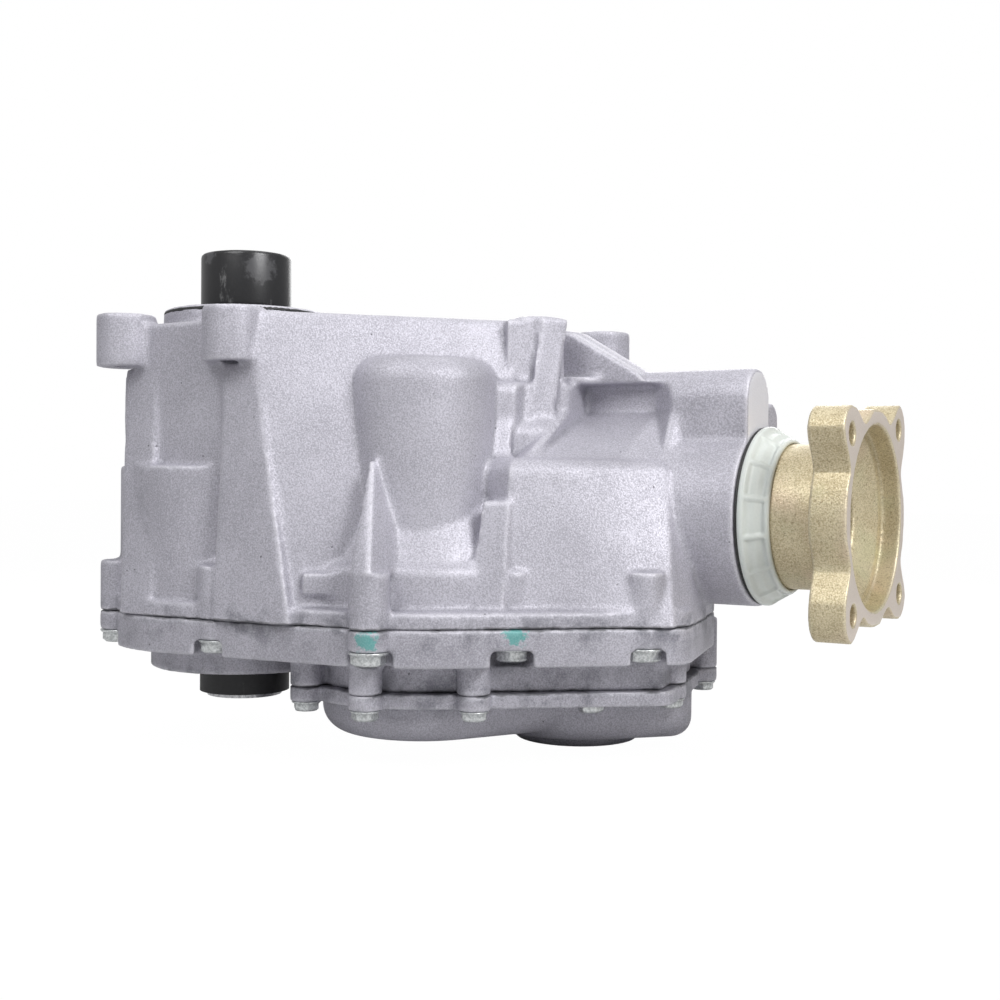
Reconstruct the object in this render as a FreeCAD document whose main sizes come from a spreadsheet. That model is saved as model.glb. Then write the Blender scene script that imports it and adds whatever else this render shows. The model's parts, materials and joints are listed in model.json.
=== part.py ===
import FreeCAD, Part
import math
import os
import re
import Sketcher

# Transfer case of a transverse drivetrain, in millimetres.
# The origin lies on the input shaft's axis, in the face that is bolted to the gearbox.
# +Z points to the gearbox, +X along the output shaft, out of its flange, and +Y to the rear wall.

Vector = FreeCAD.Vector
Rotation = FreeCAD.Rotation
Placement = FreeCAD.Placement

doc = FreeCAD.newDocument("TransferCase")
sheet = doc.addObject("Spreadsheet::Sheet", "Dims")

# Driving dimensions: alias, value, meaning
drivingDimensions = [
    ("spur_module", 2.5, "module of the three spur gears"),
    ("input_teeth", 36, "teeth of the gear on the input shaft"),
    ("idler_teeth", 38, "teeth of the idler gear"),
    ("driven_teeth", 26, "teeth of the driven gear on the ring gear shaft"),
    ("spur_face", 24, "face width of the spur gears"),
    ("bevel_module", 2.5, "module of the bevel pair at its outer end"),
    ("ring_teeth", 36, "teeth of the bevel ring gear"),
    ("pinion_teeth", 12, "teeth of the bevel pinion"),
    ("bevel_face", 14, "face width of the bevel pair along its pitch cone"),
    ("bevel_shift", 0.35, "tooth height moved from ring gear to pinion, in modules"),
    ("pressure_angle", 20, "pressure angle of all teeth, degrees"),
    ("backlash", 0.3, "play between the flanks of a mesh"),
    ("idler_angle", 10.8, "direction from the input axis to the idler axis, degrees"),
    ("driven_angle", 56.5, "direction from the idler axis to the ring gear axis, degrees"),
    ("gear_drop", 118, "gearbox face down to the top of the spur gears"),
    ("pinion_drop", 88.4, "gearbox face down to the output axis"),
    ("seam_drop", 134.5, "gearbox face down to the main housing's lower face"),
    ("middle_flange", 16, "height of the middle cover's bolted rim"),
    ("middle_height", 28.5, "height of the middle cover"),
    ("lower_flange", 6.5, "thickness of the lower cover's bolted rim"),
    ("idler_sump", 23, "depth of the lower cover under the idler"),
    ("ring_sump", 27, "depth of the lower cover under the ring gear shaft"),
    ("ring_boss_depth", 33, "depth of the ring shaft's bearing boss in the lower cover"),
    ("wall", 7, "wall of the castings"),
    ("lower_idler", 53, "radius of the lower cover round the idler"),
    ("lower_ring", 58, "radius of the lower cover round the ring gear shaft"),
    ("rim", 5, "how far the bolted rims stand out of the walls"),
    ("rim_height", 7, "height of the main housing's bolted rim"),
    ("gear_clearance", 3, "space between tooth tips and the walls"),
    ("running_gap", 0.3, "space between pieces that turn against each other"),
    ("wall_top_drop", 1.5, "gearbox face down to the top of the outer walls"),
    ("deck_drop", 30, "gearbox face down to the deck between the walls"),
    ("bulge_drop", 20.8, "from the gearbox face to the top of the idler's bulge"),
    ("lug_radius", 13.3, "radius of a gearbox lug"),
    ("lug_height", 23.5, "height of a gearbox lug"),
    ("lug_row", -49.5, "y of the two front lugs"),
    ("rear_lug_row", 52, "y of the two rear lugs"),
    ("lug_column", 134, "x of the two lugs over the ring gear shaft"),
    ("o_ring", 1.1, "radius of the O-ring's section"),
    ("shim", 1, "thickness of the bearing shims"),
    ("dowel_length", 16, "length of the dowel pins"),
    ("lug_hole", 5.25, "radius of a gearbox lug's bolt hole"),
    ("spigot_radius", 38.5, "radius of the locating spigot"),
    ("spigot_height", 5, "height of the locating spigot"),
    ("input_bearing_radius", 37.5, "outer radius of the input shaft bearings"),
    ("input_bearing_width", 14, "width of the input shaft bearings"),
    ("input_journal", 22.5, "radius of the input shaft at bearings and seal"),
    ("input_tail", 17.5, "radius of the input shaft's lower end"),
    ("half_shaft_bore", 14.5, "radius of the bore that the half shaft passes"),
    ("input_spline", 19, "outer radius of the input splines"),
    ("input_spline_teeth", 24, "number of input splines"),
    ("input_stand", 28, "how far the input shaft stands out of the gearbox face"),
    ("cap_radius", 21.5, "outer radius of the dust cap"),
    ("cap_top", 31.6, "gearbox face up to the top of the dust cap"),
    ("cap_wall", 1.9, "wall of the dust cap"),
    ("bearing_radius", 26, "outer radius of the tapered bearings"),
    ("bearing_bore", 12.5, "bore radius of the tapered bearings"),
    ("bearing_width", 15, "width of the tapered bearings"),
    ("nose_radius", 40.2, "radius of the output nose"),
    ("nose_reach", 228.2, "input axis to the face of the output nose"),
    ("flange_reach", 278, "input axis to the face of the output flange"),
    ("flange_pitch", 52, "radius of the circle of the flange's bolt holes"),
    ("flange_hole", 4.4, "radius of the flange's bolt holes"),
    ("flange_lobe", 11.5, "radius of the flange's lobes"),
    ("flange_plate", 15.5, "thickness of the flange's plate"),
    ("flange_pilot", 39.7, "radius of the flange's pilot bore"),
    ("pilot_depth", 9, "depth of the flange's pilot bore"),
    ("neck_radius", 31.8, "radius of the flange's neck"),
    ("cup_radius", 24, "radius of the hollow in the flange's neck"),
    ("hub_radius", 20, "radius of the flange's hub in the oil seal"),
    ("seal_radius", 34, "outer radius of the output oil seal"),
    ("deflector_radius", 39.6, "radius of the dust deflector"),
    ("cover_bolt", 4, "radius of the middle cover's bolts"),
    ("cover_bolt_boss", 8.5, "radius of the middle cover's bolt bosses"),
    ("small_bolt", 3, "radius of the lower cover's bolts"),
    ("small_bolt_boss", 7, "radius of the lower cover's bolt bosses"),
]


def fillSheet():
    for row, (alias, value, meaning) in enumerate(drivingDimensions, start=1):
        sheet.set("A%d" % row, meaning)
        sheet.set("B%d" % row, str(value))
        sheet.setAlias("B%d" % row, alias)
    doc.recompute()


fillSheet()
aliases = [alias for alias, value, meaning in drivingDimensions]
aliasPattern = re.compile(r"\b(" + "|".join(sorted(aliases, key=len, reverse=True)) + r")\b")


def bound(text):
    """Name the sheet before each alias in an expression."""
    return aliasPattern.sub(r"Dims.\1", str(text))


def size(text):
    """Value of an expression of aliases."""
    value = sheet.evalExpression(bound(text))
    return float(getattr(value, "Value", value))


# Shaft centres follow from the gears; each is a pair of expressions
inputAxis = ("0", "0")
idlerAxis = ("spur_module * (input_teeth + idler_teeth) / 2 * cos(idler_angle)",
             "spur_module * (input_teeth + idler_teeth) / 2 * sin(idler_angle)")
ringAxis = ("(%s) + spur_module * (idler_teeth + driven_teeth) / 2 * cos(driven_angle)" % idlerAxis[0],
            "(%s) + spur_module * (idler_teeth + driven_teeth) / 2 * sin(driven_angle)" % idlerAxis[1])
inputTip = "(spur_module * (input_teeth + 2) / 2)"
idlerTip = "(spur_module * (idler_teeth + 2) / 2)"
ringRadius = "(bevel_module * ring_teeth / 2)"
pinionRadius = "(bevel_module * pinion_teeth / 2)"
toFlange = Rotation(Vector(0, 1, 0), 90)        # turns local +Z into +X
downwards = Rotation(Vector(1, 0, 0), 180)      # turns local +Z into -Z
upright = Rotation()
finished = []                                   # every sub-part, in the order it is made


def bind(item, prop, text):
    item.setExpression(prop, bound(text))


def place(item, base, turn=upright):
    """Turn an object, then bind its base point to expressions."""
    item.Placement = Placement(Vector(*[size(text) for text in base]), turn)
    for axis, text in zip("xyz", base):
        bind(item, "Placement.Base." + axis, text)
    return item


def finish(item, label):
    """Give a finished sub-part its node name."""
    item.Label = label
    finished.append(item)
    return item


def cylinder(name, radius, height, base, turn=upright):
    item = doc.addObject("Part::Cylinder", name)
    bind(item, "Radius", radius)
    bind(item, "Height", height)
    return place(item, base, turn)


def cone(name, lowRadius, highRadius, height, base, turn=upright):
    item = doc.addObject("Part::Cone", name)
    bind(item, "Radius1", lowRadius)
    bind(item, "Radius2", highRadius)
    bind(item, "Height", height)
    return place(item, base, turn)


def box(name, length, width, height, base, turn=upright):
    item = doc.addObject("Part::Box", name)
    bind(item, "Length", length)
    bind(item, "Width", width)
    bind(item, "Height", height)
    return place(item, base, turn)


def joined(name, items):
    item = doc.addObject("Part::MultiFuse", name)
    item.Shapes = items
    item.Refine = True
    doc.recompute()
    return item


def cutFrom(name, base, tools):
    item = doc.addObject("Part::Cut", name)
    item.Base = base
    item.Tool = tools[0] if len(tools) == 1 else joined(name + "Tools", tools)
    item.Refine = True
    doc.recompute()
    return item


def hullEdges(circles):
    """Tangent lines and arcs round a group of circles (x, y, radius), like a belt round pulleys."""
    lines = []
    for i, (xa, ya, ra) in enumerate(circles):
        for j, (xb, yb, rb) in enumerate(circles):
            gap = math.hypot(xb - xa, yb - ya)
            if i == j or gap <= abs(ra - rb):
                continue
            heading = math.atan2(yb - ya, xb - xa)
            normal = heading - math.pi / 2 + math.asin((rb - ra) / gap) * -1
            nx, ny = math.cos(normal), math.sin(normal)
            reach = xa * nx + ya * ny + ra
            if all(x * nx + y * ny + r <= reach + 1e-6 for x, y, r in circles):
                lines.append((i, j, normal))
    lines.sort(key=lambda line: line[2] % (2 * math.pi))
    edges = []
    for k, (i, j, normal) in enumerate(lines):
        before = lines[k - 1][2]
        x, y, r = circles[i]
        turn = (normal - before) % (2 * math.pi)
        if turn > 1e-6:
            edges.append(Part.ArcOfCircle(Part.Circle(Vector(x, y, 0), Vector(0, 0, 1), r), before, before + turn))
        x2, y2, r2 = circles[j]
        side = Vector(math.cos(normal), math.sin(normal), 0)
        edges.append(Part.LineSegment(Vector(x, y, 0) + side * r, Vector(x2, y2, 0) + side * r2))
    return edges


def slab(name, circles, low, height, rounded=None, roundTop=True):
    """Belt outline round circles, given as expressions, raised into a slab, with one rounded face."""
    sketch = doc.addObject("Sketcher::SketchObject", name + "Outline")
    for edge in hullEdges([tuple(size(text) for text in circle) for circle in circles]):
        sketch.addGeometry(edge, False)
    place(sketch, ("0", "0", low))
    item = doc.addObject("Part::Extrusion", name)
    item.Base = sketch
    item.DirMode = "Custom"
    item.Dir = Vector(0, 0, 1)
    item.Solid = True
    bind(item, "LengthFwd", height)
    doc.recompute()
    if rounded is None:
        return item
    level = item.Shape.BoundBox.ZMax if roundTop else item.Shape.BoundBox.ZMin
    return filleted(name + "Round", item, rounded, level)


def filleted(name, item, radius, level):
    """Round the edges of an object that lie in one level."""
    doc.recompute()
    edges = []
    for number, edge in enumerate(item.Shape.Edges, start=1):
        box = edge.BoundBox
        if abs(box.ZMin - level) < 1e-4 and abs(box.ZMax - level) < 1e-4:
            edges.append((number, size(radius), size(radius)))
    rounded = doc.addObject("Part::Fillet", name)
    rounded.Base = item
    rounded.Edges = edges
    doc.recompute()
    return rounded


def profileSketch(body, points, plane="XZ_Plane"):
    """Closed outline in one of a body's own planes, each corner bound to two expressions."""
    sketch = body.newObject("Sketcher::SketchObject", body.Name + "Profile")
    origin = [feature for feature in body.Origin.OriginFeatures if feature.Role == plane][0]
    sketch.AttachmentSupport = [(origin, "")]
    sketch.MapMode = "FlatFace"
    corners = [Vector(size(across), size(along), 0) for across, along in points]
    count = len(corners)
    for k in range(count):
        sketch.addGeometry(Part.LineSegment(corners[k], corners[(k + 1) % count]), False)
    for k in range(count):
        sketch.addConstraint(Sketcher.Constraint("Coincident", k, 2, (k + 1) % count, 1))
    for k, (across, along) in enumerate(points):
        for kind, text, value in (("DistanceX", across, corners[k].x), ("DistanceY", along, corners[k].y)):
            number = sketch.addConstraint(Sketcher.Constraint(kind, -1, 1, k, 1, value))
            sketch.setExpression("Constraints[%d]" % number, bound(text))
    return sketch


def turned(label, points, base, turn=upright):
    """Body of revolution about its own Z axis, from corners (radius, height)."""
    body = doc.addObject("PartDesign::Body", label + "Body")
    sketch = profileSketch(body, points)
    revolution = body.newObject("PartDesign::Revolution", label + "Turned")
    revolution.Profile = sketch
    revolution.ReferenceAxis = (sketch, ["V_Axis"])
    revolution.Angle = 360
    place(body, base, turn)
    doc.recompute()
    return body


# Heights and shared places
gearTop = "-gear_drop"
gearBottom = "-(gear_drop + spur_face)"
seam = "-seam_drop"
lowerSeam = "-(seam_drop + middle_height)"
outputAxis = (ringAxis[1], "-pinion_drop")      # y and z of the output axis
ringFloor = "-(seam_drop + middle_height + ring_sump)"
idlerFloor = "-(seam_drop + middle_height + idler_sump)"
ringBossFloor = "-(seam_drop + middle_height + ring_boss_depth)"
cavityInput = "(%s + gear_clearance)" % inputTip
cavityIdler = "(%s + gear_clearance)" % idlerTip
cavityRing = "(%s + 8)" % ringRadius
frontCorner = ("nose_reach - 30", "%s - 46" % outputAxis[0])     # where case and covers turn under the nose


def around(axis, radius, angle):
    """Place at a radius and an angle in degrees round an axis."""
    return ("%s + (%s) * cos(%s)" % (axis[0], radius, angle), "%s + (%s) * sin(%s)" % (axis[1], radius, angle))


coverBoltRing = "%s + cover_bolt + 3.5"
smallBoltRing = "(lower_idler + 3.5)"
coverBolts = [around(inputAxis, coverBoltRing % cavityInput, angle) for angle in (-129, -60, 150, 98)]
coverBolts += [around(idlerAxis, "%s + 15" % cavityIdler, -75), around(idlerAxis, "%s + 8.5" % cavityIdler, -19),
               around(idlerAxis, coverBoltRing % cavityIdler, 140)]
coverBolts += [around(ringAxis, "%s + 30" % cavityRing, -43), around(ringAxis, coverBoltRing % cavityRing, 58),
               around(ringAxis, coverBoltRing % cavityRing, 108), around(ringAxis, coverBoltRing % cavityRing, 150)]
smallBolts = [around(idlerAxis, "lower_idler + 3.5", angle) for angle in (-119, -81, -34, 166, 122)]
smallBolts += [around(ringAxis, "lower_ring + 3.5", angle) for angle in (-57, -20, 36, 73, 127)]
dowels = [around(inputAxis, coverBoltRing % cavityInput, 176), around(ringAxis, coverBoltRing % cavityRing, -5)]
lugs = [("-28", "lug_row"), ("36", "lug_row"), ("lug_column", "43.5"), ("lug_column", "111"),
        ("-36", "rear_lug_row"), ("40", "rear_lug_row")]


def caseCircles(extra):
    """Outline of the gear case, a wall outside its cavities and further out by an extra."""
    return [inputAxis + ("%s + wall + %s" % (cavityInput, extra),),
            idlerAxis + ("%s + wall + %s" % (cavityIdler, extra),),
            ringAxis + ("%s + wall + %s" % (cavityRing, extra),)]


def rimCircles():
    """Outline of the joint between the main housing and the middle cover."""
    return [inputAxis + ("%s + wall + rim - 2" % cavityInput,), idlerAxis + ("%s + wall + rim + 3" % cavityIdler,),
            ringAxis + ("%s + wall + rim" % cavityRing,), frontCorner + ("14",)]


def lowerCircles(extra):
    return [idlerAxis + ("lower_idler + %s" % extra,),
            ringAxis + ("lower_ring + %s" % extra,),
            (frontCorner[0] + " - 4", frontCorner[1] + " + 5", "8 + %s" % extra)]


def bevelled(name, corners, low, high):
    """Solid between a low and a high outline of as many corners, given as (x, y) expressions."""
    wires = []
    for level, outline in ((low, corners[0]), (high, corners[1])):
        sketch = doc.addObject("Sketcher::SketchObject", name + "Outline")
        points = [Vector(size(x), size(y), 0) for x, y in outline]
        for k, point in enumerate(points):
            sketch.addGeometry(Part.LineSegment(points[k - 1], point), False)
        place(sketch, ("0", "0", level))
        wires.append(sketch)
    item = doc.addObject("Part::Loft", name)
    item.Sections = wires
    item.Solid = True
    item.Ruled = True
    doc.recompute()
    return item


def plate(name, outline, thickness, base, turn):
    """Flat rib: an outline of (across, up) expressions, given its thickness along the turned Z."""
    sketch = doc.addObject("Sketcher::SketchObject", name + "Outline")
    points = [Vector(size(x), size(y), 0) for x, y in outline]
    for k, point in enumerate(points):
        sketch.addGeometry(Part.LineSegment(points[k - 1], point), False)
    item = doc.addObject("Part::Extrusion", name)
    item.Base = sketch
    item.DirMode = "Custom"
    item.Dir = Vector(0, 0, 1)
    item.Solid = True
    bind(item, "LengthFwd", thickness)
    return place(item, base, turn)


upInXZ = Rotation(Vector(1, 0, 0), 90)          # outline (x, z), thickness towards -Y


toRear = Rotation(Vector(1, 0, 0), -90)         # turns local +Z into +Y
fillerPlace = ("165", "(%s) + 68" % ringAxis[1], "-100")
drainPlace = (ringAxis[0], "(%s) + 60" % ringAxis[1], "-(seam_drop + middle_height + lower_flange) - 12.5")
breatherPlace = ("76", "46", "-bulge_drop")


def ringCut(name, inner, outer, height, base, turn=upright):
    """Ring that is taken out of a casting."""
    return cutFrom(name, cylinder(name + "Outer", outer, height, base, turn),
                   [cylinder(name + "Inner", inner, height, base, turn)])


def makeMainHousing():
    caseWall = "input_bearing_radius + wall + 1.5"
    solids = [
        # Gear case, ring gear chamber and the block round the upper bearings
        slab("GearCase", caseCircles("0"), seam, "seam_drop - gear_drop + 10", "6"),
        cone("IdlerFlare", "%s + wall - 1" % cavityIdler, "34", "54", idlerAxis + ("-(gear_drop - 4)",)),
        cylinder("InputApron", "%s + wall" % cavityInput, "seam_drop - 68", inputAxis + (seam,)),
        filleted("RingChamberRound", cylinder("RingChamber", "%s + wall" % cavityRing, "seam_drop - 62", ringAxis + (seam,)),
                 "12", size("-62")),
        filleted("ChamberRound", bevelled("ChamberWall", (
            [("150", "-14"), ("169", "1"), ("195", "16"), ("210", "26"), ("212", "42"), ("205", "75"), ("135", "100"), ("110", "20")],
            [("148", "-3"), ("165", "11"), ("182", "29"), ("197", "47"), ("199", "60"), ("199", "84"), ("135", "100"), ("112", "10")]),
            seam, "-64"), "8", size("-64")),
        slab("Block", [inputAxis + ("40",), idlerAxis + ("28",), ringAxis + ("40",), ("172", "84", "26")],
             "-gear_drop", "gear_drop - deck_drop", "5"),
        cone("InputTowerFlare", "%s + wall" % cavityInput, "50.5", "20", ("0", "0", "-(gear_drop - 10)")),
        cylinder("InputTowerFoot", "50.5", "22", ("0", "0", "-90")),
        cylinder("InputTower", caseWall, "68 - wall_top_drop - 3", ("0", "0", "-68")),
        # Bulge of the idler's upper bearing and boss of the ring shaft's
        slab("IdlerBulge", [idlerAxis + ("34",), ("(%s) + 9.3" % idlerAxis[0], "(%s) - 15.6" % idlerAxis[1], "32")],
             seam, "seam_drop - bulge_drop", "11"),
        cylinder("RingBearingBoss", "bearing_radius + wall", "44", ringAxis + ("-70",)),
        # Output nose, with the pad above it
        cylinder("Nose", "nose_radius", "nose_reach - 150", ("150",) + outputAxis, toFlange),
        cone("NoseFlare", "nose_radius + 12", "nose_radius", "66", ("136",) + outputAxis, toFlange),
        cylinder("PadTop", "14", "nose_reach - 168", ("168", "75", "-37.5"), toFlange),
        box("PadFoot", "nose_reach - 168", "28", "40", ("168", "61", "-77.5")),
        cylinder("RearPad", "9", "nose_reach - 184", ("180", "104", "-46"), toFlange),
        box("RearPadFoot", "nose_reach - 184", "18", "30", ("180", "95", "-76")),
        # Rim along the joint to the middle cover
        slab("HousingRim", rimCircles(), seam, "rim_height"),
        # Walls between the gearbox lugs, and the gusset down to the nose
        bevelled("FrontWall", ([("71", "-52"), ("150", "-8"), ("146", "0"), ("67", "-44")],
                               [("46", "-51"), ("128", "34"), ("122", "40"), ("40", "-45")]),
                 "-(seam_drop - rim_height)", "-wall_top_drop"),
        plate("Gusset", [("128", "-wall_top_drop"), ("142", "-4"), ("176", "-24"), ("228", "-24"), ("228", "-60"),
                         ("128", "-60")], "9", ("0", "79", "0"), upInXZ),
        plate("LugWeb", [("-28", "-4.5"), ("36", "-4.5"), ("36", "-72"), ("-28", "-72")], "7", ("0", "lug_row + 6", "0"), upInXZ),
        # Pillars under the front lugs, widening to the joint, and the wedge under the third lug
        bevelled("FirstPillar", ([("-21", "-60"), ("-2", "-60"), ("-2", "-36"), ("-26", "-36")],
                                 [("-28", "-50"), ("-9", "-50"), ("-9", "-36"), ("-28", "-36")]), seam, "-20"),
        bevelled("SecondPillar", ([("34", "-60"), ("74", "-57"), ("74", "-40"), ("34", "-40")],
                                  [("32", "-51"), ("49", "-51"), ("49", "-40"), ("32", "-40")]), seam, "-20"),
        bevelled("ThirdPillar", ([("121", "46"), ("135", "30.5"), ("148", "46"), ("134", "58")],
                                 [("121.7", "44"), ("135", "30.5"), ("147", "45"), ("134", "57")]), "-60", "-0.3"),
        # Wall from the third lug to the pad, and the slope down to the ring gear chamber
        plate("GussetWall", [("136", "-5"), ("142", "-5"), ("176", "-24.5"), ("182", "-31"), ("182", "-62"), ("136", "-62")],
              "18", ("0", "79", "0"), upInXZ),
        bevelled("ChamberSlope", ([("128", "24"), ("150", "4"), ("165", "16"), ("182", "34"), ("197", "52"), ("199", "60"), ("199", "84"), ("128", "84")],
                                  [("132", "48"), ("146", "46"), ("160", "58"), ("178", "60.5"), ("195", "61.5"), ("199", "64"), ("199", "84"), ("132", "84")]),
                 "-66", "-42"),
        # Buttress over the second front bolt, pillar where the ring gear chamber starts, and a bare cast tag
        bevelled("Buttress", ([("104.5", "-57"), ("114.5", "-57"), ("114.5", "-20"), ("104.5", "-20")],
                              [("97", "-34"), ("99.4", "-34"), ("99.4", "-20"), ("97", "-20")]), "-112", "-66"),
        bevelled("ChamberPillar", ([("136", "-21"), ("152", "-16"), ("152", "10"), ("134", "10")],
                                   [("139", "-11"), ("150", "-7"), ("150", "10"), ("137", "10")]), seam, "-82"),
        bevelled("CastTag", ([("76", "-51.5"), ("95", "-41"), ("92", "-35"), ("73", "-45")],
                             [("76", "-51.5"), ("95", "-41"), ("92", "-35"), ("73", "-45")]), "-122", "-113"),
        bevelled("RearWall", ([("32", "76"), ("106", "132"), ("110", "125"), ("36", "66")],
                              [("36", "56"), ("126", "118"), ("130", "111"), ("40", "49")]),
                 "-(seam_drop - rim_height)", "-wall_top_drop"),
        plate("RearLugWeb", [("-36", "-4.5"), ("40", "-4.5"), ("40", "-60"), ("-36", "-60")], "7", ("0", "rear_lug_row - 1", "0"), upInXZ),
        cylinder("Spigot", "spigot_radius", "spigot_height + 12", ("0", "0", "-12")),
        # Bosses of the filler plug and the breather
        cylinder("FillerBoss", "14", "40", fillerPlace[:1] + ("%s - 40" % fillerPlace[1],) + fillerPlace[2:], toRear),
        cylinder("BreatherBoss", "7", "14", breatherPlace[:2] + ("%s - 14" % breatherPlace[2],)),
    ]
    for k, (x, y) in enumerate(coverBolts):
        solids.append(cylinder("RimBoss%d" % k, "cover_bolt_boss", "rim_height + 16", (x, y, seam)))
    for k, (x, y) in enumerate(lugs):
        solids.append(cylinder("Lug%d" % k, "lug_radius - 3" if k == 2 else "lug_radius", "lug_height", (x, y, "-lug_height")))
        if k > 1:
            solids.append(cylinder("LugPillar%d" % k, "7.5", "gear_drop - lug_height",
                                   ("(%s) * 0.92" % x, "(%s) * 0.92" % y, "-gear_drop")))
    for k, (x, y) in enumerate(dowels):
        solids.append(cylinder("DowelBoss%d" % k, "cover_bolt_boss - 1.5", "rim_height + 3", (x, y, seam)))
    whole = joined("HousingSolid", solids)
    tools = [box("BelowSeam", "400", "400", "60", ("-100", "-150", "-seam_drop - 60"))]
    for name, axis, radius, height in (("Input", inputAxis, cavityInput, "seam_drop - gear_drop + 4"),
                                       ("Idler", idlerAxis, cavityIdler, "seam_drop - gear_drop + 4"),
                                       ("Ring", ringAxis, cavityRing, "seam_drop - 68")):
        tools.append(cylinder(name + "Cavity", radius, height, axis + (seam,)))
    tools += [
        cylinder("InputBore", "input_bearing_radius", "gear_drop - 16", ("0", "0", "-gear_drop")),
        cylinder("InputSealSeat", "33", "40", ("0", "0", "-18")),
        cylinder("IdlerWell", "bearing_radius + 3", "gear_drop - 48", idlerAxis + ("-gear_drop",)),
        cylinder("IdlerSeat", "bearing_radius", "gear_drop - 31", idlerAxis + ("-gear_drop",)),
        cylinder("RingSeat", "bearing_radius", "22", ringAxis + ("-70",)),
        cylinder("OutputBore", "bearing_radius", "nose_reach - 150", ("150",) + outputAxis, toFlange),
        cylinder("OutputSealSeat", "seal_radius", "10", ("nose_reach - 9",) + outputAxis, toFlange),
    ]
    for k, (x, y) in enumerate(lugs):
        tools.append(cylinder("LugHole%d" % k, "lug_hole", "lug_height + 2", (x, y, "-lug_height - 1")))
    for k, (x, y) in enumerate(coverBolts):
        tools.append(cylinder("RimHole%d" % k, "cover_bolt", "18", (x, y, seam)))
    for k, (x, y) in enumerate(dowels):
        tools.append(cylinder("RimDowelHole%d" % k, "cover_bolt", "dowel_length / 2", (x, y, seam)))
    tools += [
        ringCut("SpigotGroove", "spigot_radius - 2 * o_ring", "spigot_radius + 1", "2 * o_ring", ("0", "0", "1.9")),
        cylinder("FillerHole", "8", "60", fillerPlace[:1] + ("%s - 50" % fillerPlace[1],) + fillerPlace[2:], toRear),
        cylinder("BreatherHole", "3", "20", breatherPlace[:2] + ("%s - 12" % breatherPlace[2],)),
    ]
    finish(cutFrom("MainHousing", whole, tools), "main_housing")


def makeMiddleCover():
    solids = [
        slab("CoverRim", rimCircles(), "-(seam_drop + middle_flange)", "middle_flange"),
        slab("CoverSkirt", lowerCircles("-4"), lowerSeam, "middle_height", None),
        cylinder("InputBoss", "input_bearing_radius + wall - 1", "27", ("0", "0", "-(seam_drop + 27)")),
    ]
    for k, (x, y) in enumerate(coverBolts):
        solids.append(cylinder("CoverBoss%d" % k, "cover_bolt_boss", "middle_flange", (x, y, "-(seam_drop + middle_flange)")))
    for k, (x, y) in enumerate(smallBolts):
        solids.append(cylinder("SkirtBoss%d" % k, "small_bolt_boss", "middle_height - 4", (x, y, lowerSeam)))
    for k, (x, y) in enumerate(dowels):
        solids.append(cylinder("CoverDowelBoss%d" % k, "cover_bolt_boss - 1.5", "middle_flange", (x, y, "-(seam_drop + middle_flange)")))
    whole = joined("MiddleSolid", solids)
    tools = [
        cylinder("MiddleInput", cavityInput, "gear_drop + spur_face - seam_drop + 3", inputAxis + ("-(gear_drop + spur_face) - 3",)),
        cylinder("MiddleIdler", cavityIdler, "gear_drop + spur_face - seam_drop + 3", idlerAxis + ("-(gear_drop + spur_face) - 3",)),
        slab("MiddleWell", [idlerAxis + ("42",), ringAxis + ("%s - 6" % cavityRing,)], lowerSeam, "middle_height"),
        cylinder("LowerInputSeat", "input_bearing_radius", "14", ("0", "0", "-159")),
        cylinder("HalfShaftSeat", "21", "30", ("0", "0", "-175")),
    ]
    for k, (x, y) in enumerate(coverBolts):
        tools.append(cylinder("CoverHole%d" % k, "cover_bolt + 0.4", "middle_flange + 2",
                              (x, y, "-(seam_drop + middle_flange) - 1")))
        tools.append(cylinder("BoltPocket%d" % k, "10", "7.5", (x, y, "-(seam_drop + middle_flange) - 0.5")))
    for k, (x, y) in enumerate(smallBolts):
        tools.append(cylinder("SkirtHole%d" % k, "small_bolt", "16", (x, y, lowerSeam)))
    for k, (x, y) in enumerate(dowels):
        tools.append(cylinder("CoverDowelHole%d" % k, "cover_bolt", "dowel_length / 2", (x, y, "(%s) - dowel_length / 2" % seam)))
    finish(cutFrom("MiddleCover", whole, tools), "middle_cover")


def makeLowerCover():
    solids = [
        slab("LowerRim", lowerCircles("0"), "-(seam_drop + middle_height + lower_flange)", "lower_flange"),
        slab("IdlerSump", [idlerAxis + ("45",), ringAxis + ("40",)], idlerFloor, "idler_sump", "12", False),
        slab("RingSump", [ringAxis + ("50",), ("183", "80", "12")], ringFloor, "ring_sump", "9", False),
        filleted("RingBossRound", cylinder("RingBoss", "bearing_radius + 4", "ring_boss_depth", ringAxis + (ringBossFloor,)),
                 "3", size(ringBossFloor)),
        cylinder("DrainBoss", "12", "24", drainPlace[:1] + ("%s - 24" % drainPlace[1],) + drainPlace[2:], toRear),
    ]
    for k, (x, y) in enumerate(smallBolts):
        solids.append(cylinder("LowerBoss%d" % k, "small_bolt_boss", "lower_flange", (x, y, "-(seam_drop + middle_height + lower_flange)")))
    whole = joined("LowerSolid", solids)
    tools = [
        cylinder("IdlerWellLow", "bearing_radius + 6", "2", idlerAxis + (lowerSeam + " - 2",)),
        cylinder("IdlerSeatLow", "bearing_radius", "18", idlerAxis + (lowerSeam + " - 18",)),
        cylinder("RingSeatLow", "bearing_radius", "27", ringAxis + (lowerSeam + " - 27",)),
        cylinder("DrainHole", "7", "60", drainPlace[:1] + ("%s - 14" % drainPlace[1],) + drainPlace[2:], toRear),
    ]
    for k, (x, y) in enumerate(smallBolts):
        tools.append(cylinder("LowerHole%d" % k, "small_bolt + 0.4", "60", (x, y, lowerSeam + " - 60")))
    finish(cutFrom("LowerCover", whole, tools), "lower_cover")



# Turned pieces. A profile is a list of corners (radius, height above the piece's base).

def ring(label, inner, outer, height, base, turn=upright):
    """Plain ring."""
    return turned(label, [(inner, "0"), (outer, "0"), (outer, height), (inner, height)], base, turn)


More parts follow.
